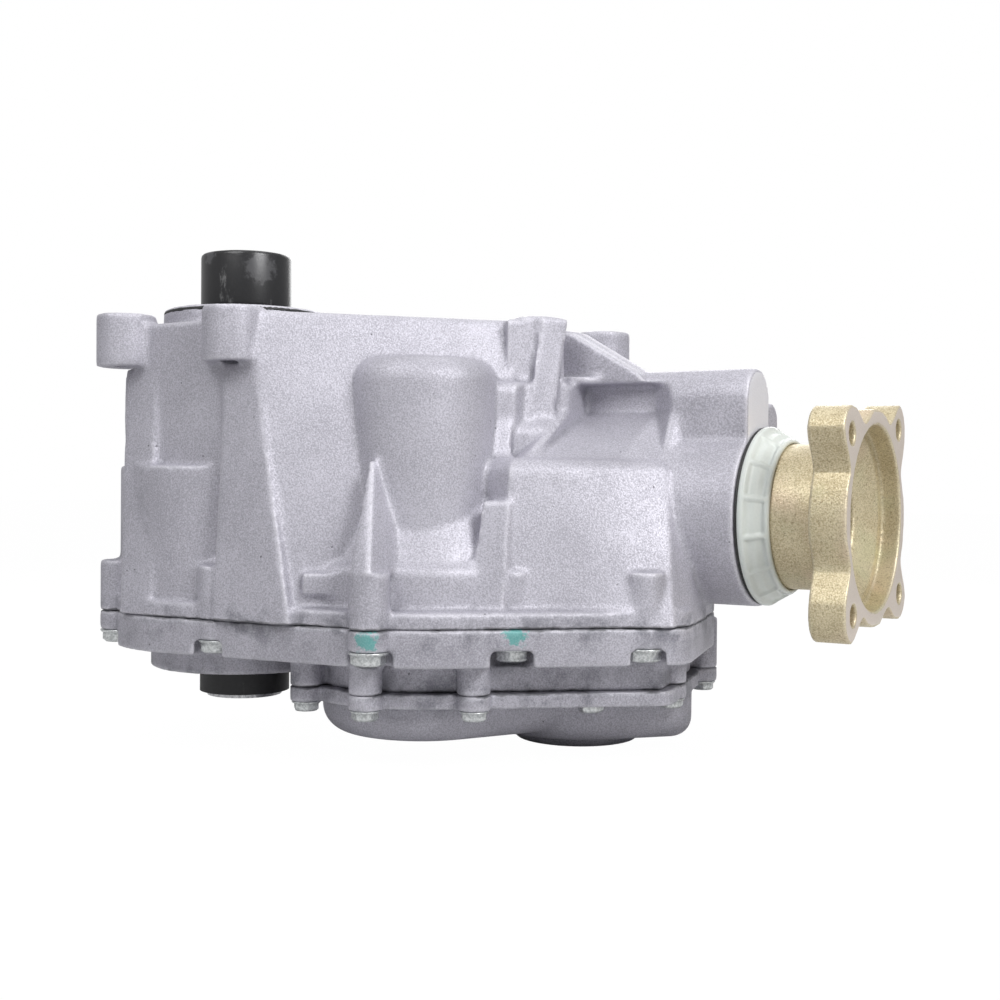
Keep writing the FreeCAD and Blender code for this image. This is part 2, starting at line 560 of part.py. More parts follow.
pinionShoulder = "(%s + %s + 4)" % (ringAxis[0], ringRadius)


def bearing(name, base, turn=upright):
    """Cup and cone of a tapered roller bearing; its wide side is at the base."""
    cup = turned(name + "Cup", [("bearing_radius", "0"), ("bearing_radius", "bearing_width"),
                                ("bearing_radius - 5.5", "bearing_width"), ("bearing_radius - 2.5", "0")], base, turn)
    inner = turned(name + "Cone", [
        ("bearing_bore", "0"), ("bearing_radius - 2.8 - running_gap", "0"),
        ("bearing_radius - 5.5 - running_gap", "bearing_width"), ("bearing_bore", "bearing_width")], base, turn)
    return cup, inner


def group(label, items):
    """Several pieces that share one node."""
    doc.recompute()
    item = doc.addObject("Part::Compound", label + "Group")
    item.Links = items
    return finish(item, label)


def makeInputShaft():
    length = "(input_stand + seam_drop + 41.5)"
    base = ("0", "0", "input_stand - %s" % length)
    gearHigh = "(seam_drop + 41.5 - gear_drop)"
    profile = [
        ("half_shaft_bore", "0"), ("input_tail", "0"), ("input_tail", "18"), ("input_journal", "18"),
        ("input_journal", "%s - spur_face" % gearHigh), ("input_journal + 2.5", "%s - spur_face" % gearHigh),
        ("input_journal + 2.5", gearHigh), ("input_journal + 6", gearHigh), ("input_journal + 6", gearHigh + " + 4"),
        ("input_journal + 1.5", gearHigh + " + 8"), ("input_journal + 1.5", "seam_drop + 41.5 - 33"),
        ("input_journal", "seam_drop + 41.5 - 33"), ("input_journal", "seam_drop + 41.5 + 4"),
        ("input_spline - 2.4", "seam_drop + 41.5 + 6"), ("input_spline - 2.4", length), ("half_shaft_bore", length)]
    blank = turned("InputBlank", profile, base)
    teeth = doc.addObject("PartDesign::Body", "SplineBody")
    sketch = profileSketch(teeth, [("half_shaft_bore + 1", "-1.1"), ("input_spline - 1", "-1.1"), ("input_spline", "-0.6"),
                                   ("input_spline", "0.6"), ("input_spline - 1", "1.1"), ("half_shaft_bore + 1", "1.1")],
                           "XY_Plane")
    pad = teeth.newObject("PartDesign::Pad", "SplineTooth")
    pad.Profile = sketch
    bind(pad, "Length", "input_stand - 9")
    doc.recompute()
    pattern = teeth.newObject("PartDesign::PolarPattern", "Splines")
    pattern.Originals = [pad]
    pattern.Axis = (sketch, ["N_Axis"])
    pattern.Angle = 360
    bind(pattern, "Occurrences", "input_spline_teeth")
    teeth.Tip = pattern
    place(teeth, ("0", "0", "8"))
    doc.recompute()
    finish(joined("InputShaft", [blank, teeth]), "input_shaft")


def gearCorners(teeth, module, phase):
    """Corners of a spur gear's outline, with involute flanks of three chords."""
    pitch = module * teeth / 2
    slope = math.radians(size("pressure_angle"))
    base = pitch * math.cos(slope)
    half = (math.pi * module / 2 - size("backlash") / 2) / (2 * pitch)
    levels = [pitch - 1.25 * module, max(base, pitch - 0.7 * module), pitch, pitch + 0.5 * module, pitch + module]

    def halfAngle(radius):
        lean = math.acos(min(1, base / max(radius, base)))
        return half + (math.tan(slope) - slope) - (math.tan(lean) - lean)

    corners = []
    for tooth in range(teeth):
        centre = phase + 2 * math.pi * tooth / teeth
        flank = [(radius, centre - halfAngle(radius)) for radius in levels]
        flank += [(radius, centre + halfAngle(radius)) for radius in reversed(levels)]
        corners += [Vector(radius * math.cos(turn), radius * math.sin(turn), 0) for radius, turn in flank]
    return corners


def spurGear(label, teeth, phase, bore, base, web=None):
    """Spur gear on its own axis; a web thins it between rim and hub."""
    count = int(size(teeth))
    corners = gearCorners(count, size("spur_module"), phase)
    face = Part.Face(Part.makePolygon(corners + corners[:1]))
    blank = doc.addObject("Part::Feature", label + "Blank")
    blank.Shape = face.extrude(Vector(0, 0, size("spur_face")))
    place(blank, base)
    tools = [cylinder(label + "Bore", bore, "spur_face + 2", base[:2] + ("(%s) - 1" % base[2],))]
    for side, level in (("Low", "(%s) - 1" % base[2]), ("High", "(%s) + spur_face - 6" % base[2])):
        if web is None:
            continue
        inner, outer = web
        rimRing = turned(label + side, [(inner, "0"), (outer, "0"), (outer, "7"), (inner, "7")], base[:2] + (level,))
        tools.append(rimRing)
    return cutFrom(label + "Solid", blank, tools)


idlerStart = math.radians(size("idler_angle"))
drivenStart = math.radians(size("driven_angle"))
idlerStep = 2 * math.pi / size("idler_teeth")
idlerPhase = idlerStart + math.pi + idlerStep / 2       # a gap of the idler faces a tooth of the input gear
nearest = round((drivenStart - idlerPhase) / idlerStep)
offset = idlerPhase + nearest * idlerStep - drivenStart
drivenPhase = drivenStart + math.pi - offset * size("idler_teeth") / size("driven_teeth") + math.pi / size("driven_teeth")


def makeSpurGears():
    web = ("input_journal + 7", "spur_module * input_teeth / 2 - 8")
    finish(spurGear("InputGear", "input_teeth", idlerStart, "input_journal + 2.5", inputAxis + (gearBottom,), web), "input_gear")
    web = ("bearing_bore + 11", "spur_module * idler_teeth / 2 - 8")
    finish(spurGear("IdlerGear", "idler_teeth", idlerPhase, "bearing_bore + 4", idlerAxis + (gearBottom,), web), "idler_gear")
    finish(spurGear("DrivenGear", "driven_teeth", drivenPhase, "bearing_bore + 5", ringAxis + (gearBottom,)), "driven_gear")


def makeIdlerShaft():
    length = "(seam_drop + middle_height + 18 - 31)"
    base = idlerAxis + ("-(seam_drop + middle_height + 18)",)
    low = "(seam_drop + middle_height + 18 - gear_drop - spur_face)"
    profile = [("0", "0"), ("bearing_bore", "0"), ("bearing_bore", "bearing_width + 1"), ("bearing_bore + 4", "bearing_width + 1"),
               ("bearing_bore + 4", low + " + spur_face"), ("bearing_bore + 8", low + " + spur_face"),
               ("bearing_bore + 8", low + " + spur_face + 4"), ("bearing_bore + 3", low + " + spur_face + 8"),
               ("bearing_bore + 3", length + " - bearing_width - 1"), ("bearing_bore", length + " - bearing_width - 1"),
               ("bearing_bore", length), ("0", length)]
    finish(turned("IdlerShaft", profile, base), "idler_shaft")


def makeRingShaft():
    foot = "(seam_drop + middle_height + 27)"
    length = "(%s - 48)" % foot
    low = "(%s - gear_drop - spur_face)" % foot
    profile = [("0", "0"), ("bearing_bore", "0"), ("bearing_bore", "bearing_width + 1"), ("bearing_bore + 5", "bearing_width + 1"),
               ("bearing_bore + 5", low + " + spur_face"), ("bearing_bore + 14", low + " + spur_face"),
               ("bearing_bore + 14", low + " + spur_face + 4"), ("bearing_bore + 7", low + " + spur_face + 4"),
               ("bearing_bore + 7", low + " + spur_face + 14"), ("bearing_bore + 3", low + " + spur_face + 18"),
               ("bearing_bore + 3", length + " - bearing_width - 1"),
               ("bearing_bore", length + " - bearing_width - 1"), ("bearing_bore", length), ("0", length)]
    finish(turned("RingShaft", profile, ringAxis + ("-%s" % foot,)), "ring_gear_shaft")


def bevelTooth(pitchRadius, coneAngle, turn, shift):
    """One tooth of a bevel gear with its apex at the origin and its axis along +Z, as a closed solid."""
    module = size("bevel_module")
    slope = math.radians(size("pressure_angle"))
    reach = pitchRadius / math.sin(coneAngle)
    inner = (reach - size("bevel_face")) / reach
    virtual = reach * math.tan(coneAngle)       # radius of the spur gear that the tooth is drawn on
    base = virtual * math.cos(slope)
    half = (math.pi * module / 2 - size("backlash") / 2) / 2 + shift * math.tan(slope)
    outline = []
    for height in (shift - 1.45 * module, shift - 0.6 * module, 0, (shift + 0.95 * module) / 2, shift + 0.95 * module):
        radius = virtual + height
        lean = math.acos(min(1, base / max(radius, base)))
        width = radius * (half / virtual + (math.tan(slope) - slope) - (math.tan(lean) - lean))
        angle = coneAngle + math.atan(height / reach)
        outline.append((angle, width / (reach * math.sin(coneAngle) / math.cos(math.atan(height / reach)) + height * math.cos(coneAngle)), height))

    def point(angle, around, height, share):
        far = math.hypot(reach, height) * share
        return Vector(far * math.sin(angle) * math.cos(around), far * math.sin(angle) * math.sin(around), far * math.cos(angle))

    loops = []
    for share in (1, inner):
        left = [point(angle, turn - width, height, share) for angle, width, height in outline]
        right = [point(angle, turn + width, height, share) for angle, width, height in reversed(outline)]
        loops.append(left + right)
    outer, small = loops
    count = len(outer)
    faces = []
    for loop, order in ((outer, 1), (small, -1)):
        for k in range(count // 2 - 1):
            quad = [loop[k], loop[k + 1], loop[count - 2 - k], loop[count - 1 - k]]
            for triangle in ((quad[0], quad[1], quad[2]), (quad[0], quad[2], quad[3])):
                faces.append(Part.Face(Part.makePolygon(list(triangle) + [triangle[0]])))
    for k in range(count):
        a, b = outer[k], outer[(k + 1) % count]
        c, d = small[(k + 1) % count], small[k]
        for triangle in ((a, b, c), (a, c, d)):
            faces.append(Part.Face(Part.makePolygon(list(triangle) + [triangle[0]])))
    solid = Part.makeSolid(Part.makeShell(faces))
    if solid.Volume < 0:
        solid.reverse()
    return solid


def bevelGear(teethText, coneAngle, phase, back, bore, shift):
    """Bevel gear about +Z with its apex at the origin and its back at a height: a blank and a ring of teeth."""
    count = int(size(teethText))
    pitchRadius = size("bevel_module") * count / 2
    module = size("bevel_module")
    reach = pitchRadius / math.sin(coneAngle)
    rootDrop = 1.25 * module - shift
    root = coneAngle - math.atan(rootDrop / reach)
    share = (reach - size("bevel_face")) / reach
    far = math.hypot(reach, rootDrop)
    high = far * math.cos(root)
    outerPoint = (far * math.sin(root), high)
    innerPoint = (outerPoint[0] * share, outerPoint[1] * share)
    corners = [(bore, innerPoint[1]), innerPoint, outerPoint, (outerPoint[0], back), (bore, back)]
    outline = Part.makePolygon([Vector(x, 0, z) for x, z in corners] + [Vector(corners[0][0], 0, corners[0][1])])
    blank = Part.Face(outline).revolve(Vector(0, 0, 0), Vector(0, 0, 1), 360)
    teeth = [bevelTooth(pitchRadius, coneAngle, phase + 2 * math.pi * k / count, shift) for k in range(count)]
    return blank.fuse(teeth)


def makeRingGear():
    coneAngle = math.atan2(size("ring_teeth"), size("pinion_teeth"))
    shape = bevelGear("ring_teeth", coneAngle, math.pi / size("ring_teeth"), size("gear_drop - 4 - pinion_drop"),
                      size("bearing_bore + 7"), -size("bevel_shift * bevel_module"))
    item = doc.addObject("Part::Feature", "RingGear")
    item.Shape = shape
    place(item, ringAxis + ("-pinion_drop",), downwards)
    finish(item, "ring_gear")


def makePinionShaft():
    coneAngle = math.atan2(size("pinion_teeth"), size("ring_teeth"))
    head = bevelGear("pinion_teeth", coneAngle, math.pi, size(ringRadius + " + 4"), 0,
                     size("bevel_shift * bevel_module"))
    head.rotate(Vector(0, 0, 0), Vector(0, 1, 0), 90)
    start = size(ringAxis[0])
    low = size("bevel_module * ring_teeth / 2 + gear_clearance")
    high = size("flange_reach - 20") - start
    head = head.fuse(Part.makeCylinder(size("bearing_bore"), high - low, Vector(low, 0, 0), Vector(1, 0, 0)))
    item = doc.addObject("Part::Feature", "PinionShaft")
    item.Shape = head.removeSplitter()
    place(item, (ringAxis[0],) + outputAxis)
    finish(item, "pinion_shaft")


def alongOutput(x):
    return (x,) + outputAxis


def makeBearings():
    cups = {}
    cones = {}
    cups["idler"], cones["idler"] = zip(bearing("IdlerLow", idlerAxis + (lowerSeam + " - 18 + bearing_width",), downwards),
                                        bearing("IdlerHigh", idlerAxis + ("-31 - shim - bearing_width",)))
    cups["ring"], cones["ring"] = zip(bearing("RingLow", ringAxis + (lowerSeam + " - 27 + bearing_width",), downwards),
                                      bearing("RingHigh", ringAxis + ("-48 - shim - bearing_width",)))
    cups["pinion"], cones["pinion"] = zip(bearing("PinionInner", alongOutput(pinionShoulder + " + bearing_width"), toFlange.multiply(downwards)),
                                          bearing("PinionOuter", alongOutput("nose_reach - 9 - bearing_width"), toFlange))
    group("bearing_shims", [ring("IdlerShim", "bearing_radius - 5", "bearing_radius", "shim", idlerAxis + ("-31 - shim",)),
                            ring("RingShim", "bearing_radius - 5", "bearing_radius", "shim", ringAxis + ("-48 - shim",))])
    for name in cups:
        group(name + "_bearing_cups", list(cups[name]))
        group(name + "_bearing_cones", list(cones[name]))
    races = []
    hubs = []
    for name, level in (("InputHigh", "-16 - input_bearing_width"), ("InputLow", "-(gear_drop + spur_face) - 3 - input_bearing_width")):
        races.append(ring(name + "Race", "input_bearing_radius - 6", "input_bearing_radius", "input_bearing_width", ("0", "0", level)))
        hubs.append(ring(name + "Hub", "input_journal", "input_bearing_radius - 6 - running_gap", "input_bearing_width", ("0", "0", level)))
    group("input_bearing_outer_races", races)
    group("input_bearing_inner_races", hubs)


def makeSeals():
    finish(turned("InputSeal", [("input_journal + running_gap", "0"), ("33", "0"), ("33", "9"), ("30", "9"), ("30", "2"),
                                ("26", "2"), ("26", "7"), ("input_journal + running_gap", "7")], ("0", "0", "-9")), "input_oil_seal")
    finish(turned("HalfShaftSeal", [("input_tail + running_gap", "0"), ("21", "0"), ("21", "15"), ("input_tail + running_gap", "15")],
                  ("0", "0", "-174")), "half_shaft_seal")
    finish(turned("OutputSeal", [("hub_radius + running_gap", "0"), ("seal_radius", "0"), ("seal_radius", "8"), ("30", "8"), ("30", "2"),
                                 ("25", "2"), ("25", "6"), ("hub_radius + running_gap", "6")], alongOutput("nose_reach - 8.5"), toFlange),
           "output_oil_seal")
    item = doc.addObject("Part::Torus", "SpigotRing")
    bind(item, "Radius1", "spigot_radius - o_ring - 0.05")
    bind(item, "Radius2", "o_ring - 0.05")
    place(item, ("0", "0", "1.9 + o_ring"))
    finish(item, "spigot_o_ring")


def lobe(name, angle):
    """One lobe of the flange: a belt round its bolt hole and the flange's middle, raised along the output axis."""
    outline = slab(name, [("0", "0", "43"), ("flange_pitch", "0", "flange_lobe")], "0", "flange_plate")
    outline.Placement = Placement(Vector(*[size(text) for text in alongOutput("flange_reach - flange_plate")]),
                                  toFlange.multiply(Rotation(Vector(0, 0, 1), size(angle) - 90)))
    for axis, text in zip("xyz", alongOutput("flange_reach - flange_plate")):
        bind(outline, "Placement.Base." + axis, text)
    return outline


def makeOutputFlange():
    face = "(flange_reach - nose_reach + 8.5)"
    profile = [("0", "0"), ("hub_radius", "0"), ("hub_radius", "11"), ("neck_radius", "13.5"),
               ("neck_radius", face + " - flange_plate - 3"), ("46", face + " - flange_plate"), ("46", face), ("0", face)]
    hub = turned("FlangeHub", profile, alongOutput("nose_reach - 8.5"), toFlange)
    hollow = turned("FlangeHollow", [("0", "-1"), ("bearing_bore", "-1"), ("bearing_bore", "24"), ("cup_radius", "24"),
                                     ("cup_radius", face + " - pilot_depth - 8"), ("36", face + " - pilot_depth"),
                                     ("flange_pilot", face + " - pilot_depth"), ("flange_pilot", face + " + 1"),
                                     ("0", face + " + 1")], alongOutput("nose_reach - 8.5"), toFlange)
    solids = [hub]
    tools = [hollow]
    for k in range(4):
        angle = "(45 + 3.3 + 90 * %d)" % k
        at = ("flange_reach - flange_plate", "%s + flange_pitch * cos(%s)" % (outputAxis[0], angle),
              "%s + flange_pitch * sin(%s)" % (outputAxis[1], angle))
        solids.append(lobe("Lobe%d" % k, angle))
        tools.append(cylinder("FlangeHole%d" % k, "flange_hole", "flange_plate + 2",
                              ("flange_reach - flange_plate - 1",) + at[1:], toFlange))
    finish(cutFrom("OutputFlange", joined("FlangeSolid", solids), tools), "output_flange")


def makeDeflector():
    finish(turned("Deflector", [("neck_radius", "5"), ("deflector_radius - 2", "0"), ("deflector_radius", "0"), ("deflector_radius", "1.5"),
                                ("neck_radius + 1.8", "12"), ("neck_radius", "12")], alongOutput("nose_reach + 1.3"), toFlange),
           "dust_deflector")


def hexagon(name, acrossFlats, height, base, turn=upright):
    item = doc.addObject("Part::Prism", name)
    item.Polygon = 6
    bind(item, "Circumradius", "(%s) / sqrt(3)" % acrossFlats)
    bind(item, "Height", height)
    return place(item, base, turn)


def makeNut():
    nut = hexagon("NutHex", "32", "13", alongOutput("nose_reach - 8.5 + 24 + 2.5"), toFlange)
    hole = cylinder("NutBore", "bearing_bore", "20", alongOutput("nose_reach + 12"), toFlange)
    finish(cutFrom("PinionNut", nut, [hole]), "pinion_nut")
    finish(ring("PinionWasher", "bearing_bore", "20", "2.5", alongOutput("nose_reach - 8.5 + 24"), toFlange), "pinion_washer")
    gap = "nose_reach - 9 - bearing_width - %s - bearing_width" % pinionShoulder
    finish(ring("PinionSpacer", "bearing_bore", "bearing_bore + 5", gap, alongOutput(pinionShoulder + " + bearing_width"), toFlange),
           "pinion_spacer")


def flangeBolt(name, radius, acrossFlats, length, at):
    """Flanged hex bolt pointing up, its seat at the place given."""
    x, y, z = at
    return joined(name, [cylinder(name + "Shank", radius, length, at),
                         cylinder(name + "Flange", "%s * 2.1" % radius, "1.6", (x, y, "(%s) - 1.6" % z)),
                         hexagon(name + "Hex", acrossFlats, "%s * 1.4" % radius, (x, y, "(%s) - %s * 1.4" % (z, radius)))])


def makeBolts():
    seat = "-(seam_drop + middle_flange) + 7"
    group("middle_cover_bolts", [flangeBolt("CoverBolt%d" % k, "cover_bolt", "13", "middle_flange + 6", (x, y, seat))
                                 for k, (x, y) in enumerate(coverBolts)])
    seat = "-(seam_drop + middle_height + lower_flange)"
    group("lower_cover_bolts", [flangeBolt("SmallBolt%d" % k, "small_bolt", "10", "lower_flange + 12", (x, y, seat))
                                for k, (x, y) in enumerate(smallBolts)])


def makePlugs():
    for label, at, radius, acrossFlats in (("filler_plug", fillerPlace, "8", "19"), ("drain_plug", drainPlace, "7", "17")):
        x, y, z = at
        finish(joined(label + "Solid", [cylinder(label + "Stem", radius, "12", (x, "%s - 11" % y, z), toRear),
                                        cylinder(label + "Flange", radius + " + 4", "2", (x, "%s + 1" % y, z), toRear),
                                        hexagon(label + "Hex", acrossFlats, "7", (x, "%s + 3" % y, z), toRear)]), label)
    group("plug_washers", [ring(label + "Washer", radius, radius + " + 4", "1", at, toRear)
                           for label, at, radius in (("Filler", fillerPlace, "8"), ("Drain", drainPlace, "7"))])
    finish(turned("Breather", [("0", "-8"), ("3", "-8"), ("3", "0"), ("5.5", "0"), ("5.5", "3"), ("3", "3"), ("3", "5"), ("6.5", "6"),
                               ("6.5", "11"), ("5.5", "12"), ("0", "12")], breatherPlace), "breather")
    group("dowel_pins", [cylinder("Dowel%d" % k, "cover_bolt", "dowel_length", (x, y, "(%s) - dowel_length / 2" % seam))
                         for k, (x, y) in enumerate(dowels)])


def makeDustCap():
    finish(turned("DustCap", [("cap_radius - cap_wall", "0"), ("cap_radius", "0"), ("cap_radius", "cap_top - 6 - 1.5"),
                              ("cap_radius - 1.5", "cap_top - 6"), ("0", "cap_top - 6"), ("0", "cap_top - 6 - cap_wall"),
                              ("cap_radius - cap_wall", "cap_top - 6 - cap_wall")], ("0", "0", "6 + running_gap")), "dust_cap")


makeInputShaft()
makeSpurGears()
makeIdlerShaft()
makeRingShaft()
makeRingGear()
makePinionShaft()
makeBearings()
makeSeals()
makeOutputFlange()
makeDeflector()
makeNut()
makeBolts()
makePlugs()
makeDustCap()
makeMainHousing()
makeMiddleCover()
makeLowerCover()
doc.recompute()
for item in doc.Objects:
    shape = getattr(item, "Shape", None)
    if "Invalid" in item.State or "Error" in item.State or (shape is not None and (shape.isNull() or not shape.isValid())):
        raise ValueError("object %s didn't build: %s" % (item.Name, item.State))
os.makedirs("parts", exist_ok=True)
for item in finished:
    print(item.Label, len(item.Shape.Solids), round(item.Shape.Volume / 1000, 1), item.Shape.BoundBox)
    item.Shape.exportStep("parts/%s.step" % item.Label)
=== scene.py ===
import bmesh
import bpy
import json
import math
import numpy as np
from mathutils import Matrix, Vector


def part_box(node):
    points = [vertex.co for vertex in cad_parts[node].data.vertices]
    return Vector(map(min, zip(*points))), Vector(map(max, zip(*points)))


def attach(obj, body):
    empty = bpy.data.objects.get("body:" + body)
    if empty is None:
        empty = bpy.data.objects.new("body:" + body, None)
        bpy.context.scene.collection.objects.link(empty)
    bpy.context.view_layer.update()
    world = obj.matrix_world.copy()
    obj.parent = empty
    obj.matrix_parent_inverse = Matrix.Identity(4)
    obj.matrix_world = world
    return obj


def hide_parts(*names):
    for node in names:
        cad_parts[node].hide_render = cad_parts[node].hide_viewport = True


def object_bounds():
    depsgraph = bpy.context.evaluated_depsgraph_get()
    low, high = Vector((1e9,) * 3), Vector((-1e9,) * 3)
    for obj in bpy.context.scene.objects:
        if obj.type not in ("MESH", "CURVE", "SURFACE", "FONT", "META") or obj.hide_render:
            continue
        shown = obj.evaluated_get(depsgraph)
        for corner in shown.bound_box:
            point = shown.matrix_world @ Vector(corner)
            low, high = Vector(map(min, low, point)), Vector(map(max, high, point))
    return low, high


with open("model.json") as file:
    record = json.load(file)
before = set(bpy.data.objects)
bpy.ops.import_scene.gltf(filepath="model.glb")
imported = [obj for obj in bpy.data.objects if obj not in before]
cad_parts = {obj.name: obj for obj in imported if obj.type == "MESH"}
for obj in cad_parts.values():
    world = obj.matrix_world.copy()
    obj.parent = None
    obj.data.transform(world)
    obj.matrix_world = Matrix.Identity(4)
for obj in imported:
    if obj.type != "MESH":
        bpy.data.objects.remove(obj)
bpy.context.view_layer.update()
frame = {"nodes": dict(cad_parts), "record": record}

mm = 0.001
nodes = frame["nodes"]
mounts = {mount["name"]: mount for mount in frame["record"]["mounts"]}
outputAxis = np.array(mounts["output_flange"]["pos_m"])


def boxOf(name):
    # lowest and highest corner of a node, as arrays
    low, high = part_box(name)
    return np.array(list(low)), np.array(list(high))


def linked(item):
    bpy.context.scene.collection.objects.link(item)
    return item


# Meshes

def outward(mesh):
    # faces of a closed mesh all pointing outwards, once its double points are merged
    work = bmesh.new()
    work.from_mesh(mesh)
    bmesh.ops.remove_doubles(work, verts=work.verts, dist=1e-7)
    bmesh.ops.recalc_face_normals(work, faces=work.faces)
    work.to_mesh(mesh)
    work.free()
    return mesh


def smoothFaces(mesh):
    mesh.polygons.foreach_set("use_smooth", np.ones(len(mesh.polygons), bool))
    mesh.update()


def meshPiece(name, points, faces, body, material):
    # closed surface of points (n x 3) and faces (m x 4) that rides on a body
    mesh = bpy.data.meshes.new(name)
    mesh.from_pydata(points.tolist(), [], faces.tolist())
    smoothFaces(outward(mesh))
    mesh.materials.append(material)
    piece = linked(bpy.data.objects.new(name, mesh))
    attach(piece, body)
    return piece


def gridFaces(rows, columns, closedRows=False):
    # quads between neighbouring rows and columns of a grid whose columns close on themselves
    row, column = np.meshgrid(np.arange(rows if closedRows else rows - 1), np.arange(columns), indexing="ij")
    below = (row + 1) % rows
    beside = (column + 1) % columns
    corners = [row * columns + column, row * columns + beside, below * columns + beside, below * columns + column]
    return np.stack(corners, -1).reshape(-1, 4)


def alongAxis(local, origin, axis):
    # points of a shape drawn about +Z, carried to an axis that leaves from an origin
    turn = Vector((0, 0, 1)).rotation_difference(Vector(axis)).to_matrix()
    return local @ np.array(turn).T + np.array(origin)


def ringAngles(columns):
    return np.linspace(0, 2 * math.pi, columns, endpoint=False)


def roundPoints(radius, height, angle):
    # radius and height (rows x columns) about +Z: x = r cos a, y = r sin a, z = h
    height = np.broadcast_to(height, radius.shape)
    return np.stack([radius * np.cos(angle), radius * np.sin(angle), height], -1).reshape(-1, 3)


def roundedProfile(corners, fillet, steps=4):
    # closed outline (radius, height) with an arc at each corner: a quadratic curve between two points near it,
    # (1 - t)^2 start + 2 t (1 - t) corner + t^2 end; an arc takes less than half of a short side
    corners = np.array(corners, float)
    before = np.roll(corners, 1, 0) - corners
    after = np.roll(corners, -1, 0) - corners
    start, end = (corners + side * np.minimum(fillet / np.linalg.norm(side, axis=1), 0.45)[:, None]
                  for side in (before, after))
    t = np.linspace(0, 1, steps)[None, :, None]
    arcs = (1 - t) ** 2 * start[:, None] + 2 * t * (1 - t) * corners[:, None] + t ** 2 * end[:, None]
    return arcs.reshape(-1, 2)


def turnedPiece(name, corners, fillet, origin, axis, body, material):
    # closed outline (radius, height) turned about an axis
    profile = roundedProfile(corners, fillet)
    angle = ringAngles(96)
    radius = np.broadcast_to(profile[:, :1], (len(profile), len(angle)))
    points = alongAxis(roundPoints(radius, profile[:, 1:], angle), origin, axis)
    return meshPiece(name, points, gridFaces(len(profile), len(angle), True), body, material)


def bakedMesh(item):
    bpy.context.view_layer.update()
    return bpy.data.meshes.new_from_object(item.evaluated_get(bpy.context.evaluated_depsgraph_get()))


def mergedNode(node):
    # working copy of a node's loose triangles, joined at their corners
    work = bmesh.new()
    work.from_mesh(nodes[node].data)
    bmesh.ops.remove_doubles(work, verts=work.verts, dist=1e-6)
    return work


def loftItem(name, sections):
    # closed solid through flat polygons (x, y in mm) at rising heights (mm), with a face at each end
    count = len(sections[0][1])
    points = [np.column_stack([outline, np.full(count, height)]) for height, outline in sections]
    points = np.concatenate(points) * mm
    ends = [list(range(count))[::-1], list(range(len(points) - count, len(points)))]
    mesh = bpy.data.meshes.new(name)
    mesh.from_pydata(points.tolist(), [], gridFaces(len(sections), count).tolist() + ends)
    return linked(bpy.data.objects.new(name, outward(mesh)))


fadeValues = {"still": 0.6 * mm, "width": 1.6 * mm, "steps": 4}


def fadeShare(points, joints):
    # 0 at the joints' levels and 1 away from them
    if not joints:
        return np.ones(len(points))
    away = np.abs(points[:, 2:] - np.array([joints])).min(1)
    return np.clip((away - fadeValues["still"]) / fadeValues["width"], 0.0, 1.0)


def softened(node, values, material):
    # copy of a node's mesh, cut and joined with lofts, remeshed in small cells and smoothed, so that its edges are
    # round as a casting's; the smoothing fades out towards the joints, where two castings meet edge to edge
    work = mergedNode(node)
    mesh = bpy.data.meshes.new(node + "Copy")
    work.to_mesh(mesh)
    work.free()
    draft = linked(bpy.data.objects.new(node + "Draft", mesh))
    tools = []
    for operation, sections in values["shaping"]:
        tool = loftItem(node + "Tool", sections)
        change = draft.modifiers.new(tool.name, "BOOLEAN")
        change.operation = operation
        change.solver = "EXACT"
        change.object = tool
        tools.append(tool)
    remesh = draft.modifiers.new("cells", "REMESH")
    remesh.mode = "VOXEL"
    remesh.voxel_size = values["cell"]
    draft.data = bakedMesh(draft)
    draft.modifiers.clear()
    for tool in tools:
        bpy.data.objects.remove(tool)

    points = np.empty(len(draft.data.vertices) * 3)
    draft.data.vertices.foreach_get("co", points)
    points = values["reshape"](points.reshape(-1, 3))
    draft.data.vertices.foreach_set("co", points.ravel())

    group = draft.vertex_groups.new(name="soft")
    steps = fadeValues["steps"]
    share = np.round(fadeShare(points, values["joints"]) * steps)
    for step in range(steps + 1):
        group.add(np.nonzero(share == step)[0].tolist(), step / steps, "REPLACE")
    smooth = draft.modifiers.new("soft", "SMOOTH")
    smooth.factor = 0.5
    smooth.iterations = values["passes"]
    smooth.vertex_group = "soft"
    thin = draft.modifiers.new("thin", "DECIMATE")
    thin.ratio = min(1, values["triangles"] / (2 * len(draft.data.polygons)))
    mesh = bakedMesh(draft)
    bpy.data.objects.remove(draft)

    smoothFaces(mesh)
    mesh.materials.clear()
    mesh.materials.append(material)
    piece = linked(bpy.data.objects.new(values["name"], mesh))
    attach(piece, values["body"])
    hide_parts(node)
    return piece


def looseBoxes(node):
    # lowest and highest corner of each separate solid in a node
    work = mergedNode(node)
    left, boxes = set(work.verts), []
    while left:
        group, front = set(), [left.pop()]
        while front:
            vert = front.pop()
            group.add(vert)
            near = [edge.other_vert(vert) for edge in vert.link_edges]
            front += [other for other in near if other in left]
            left -= set(near)
        points = np.array([vert.co[:] for vert in group])
        boxes.append((points.min(0), points.max(0)))
    work.free()
    return sorted(boxes, key=lambda corners: tuple(corners[0]))


# Shader nodes

def setOrLink(tree, socket, value):
    # a socket, a number or a colour goes into an input
    if hasattr(value, "links"):
        tree.links.new(value, socket)
    elif isinstance(value, (int, float)):
        socket.default_value = value
    else:
        socket.default_value = (*value, 1)


def addNode(tree, kind, links=(), **values):
    # a node with its settings and sockets set, and links (input name or number, source socket)
    node = tree.nodes.new(kind)
    for key, value in values.items():
        if hasattr(node, key):
            setattr(node, key, value)
        else:
            node.inputs[key.replace("_", " ").title()].default_value = value
    for socket, source in links:
        tree.links.new(source, node.inputs[socket])
    return node


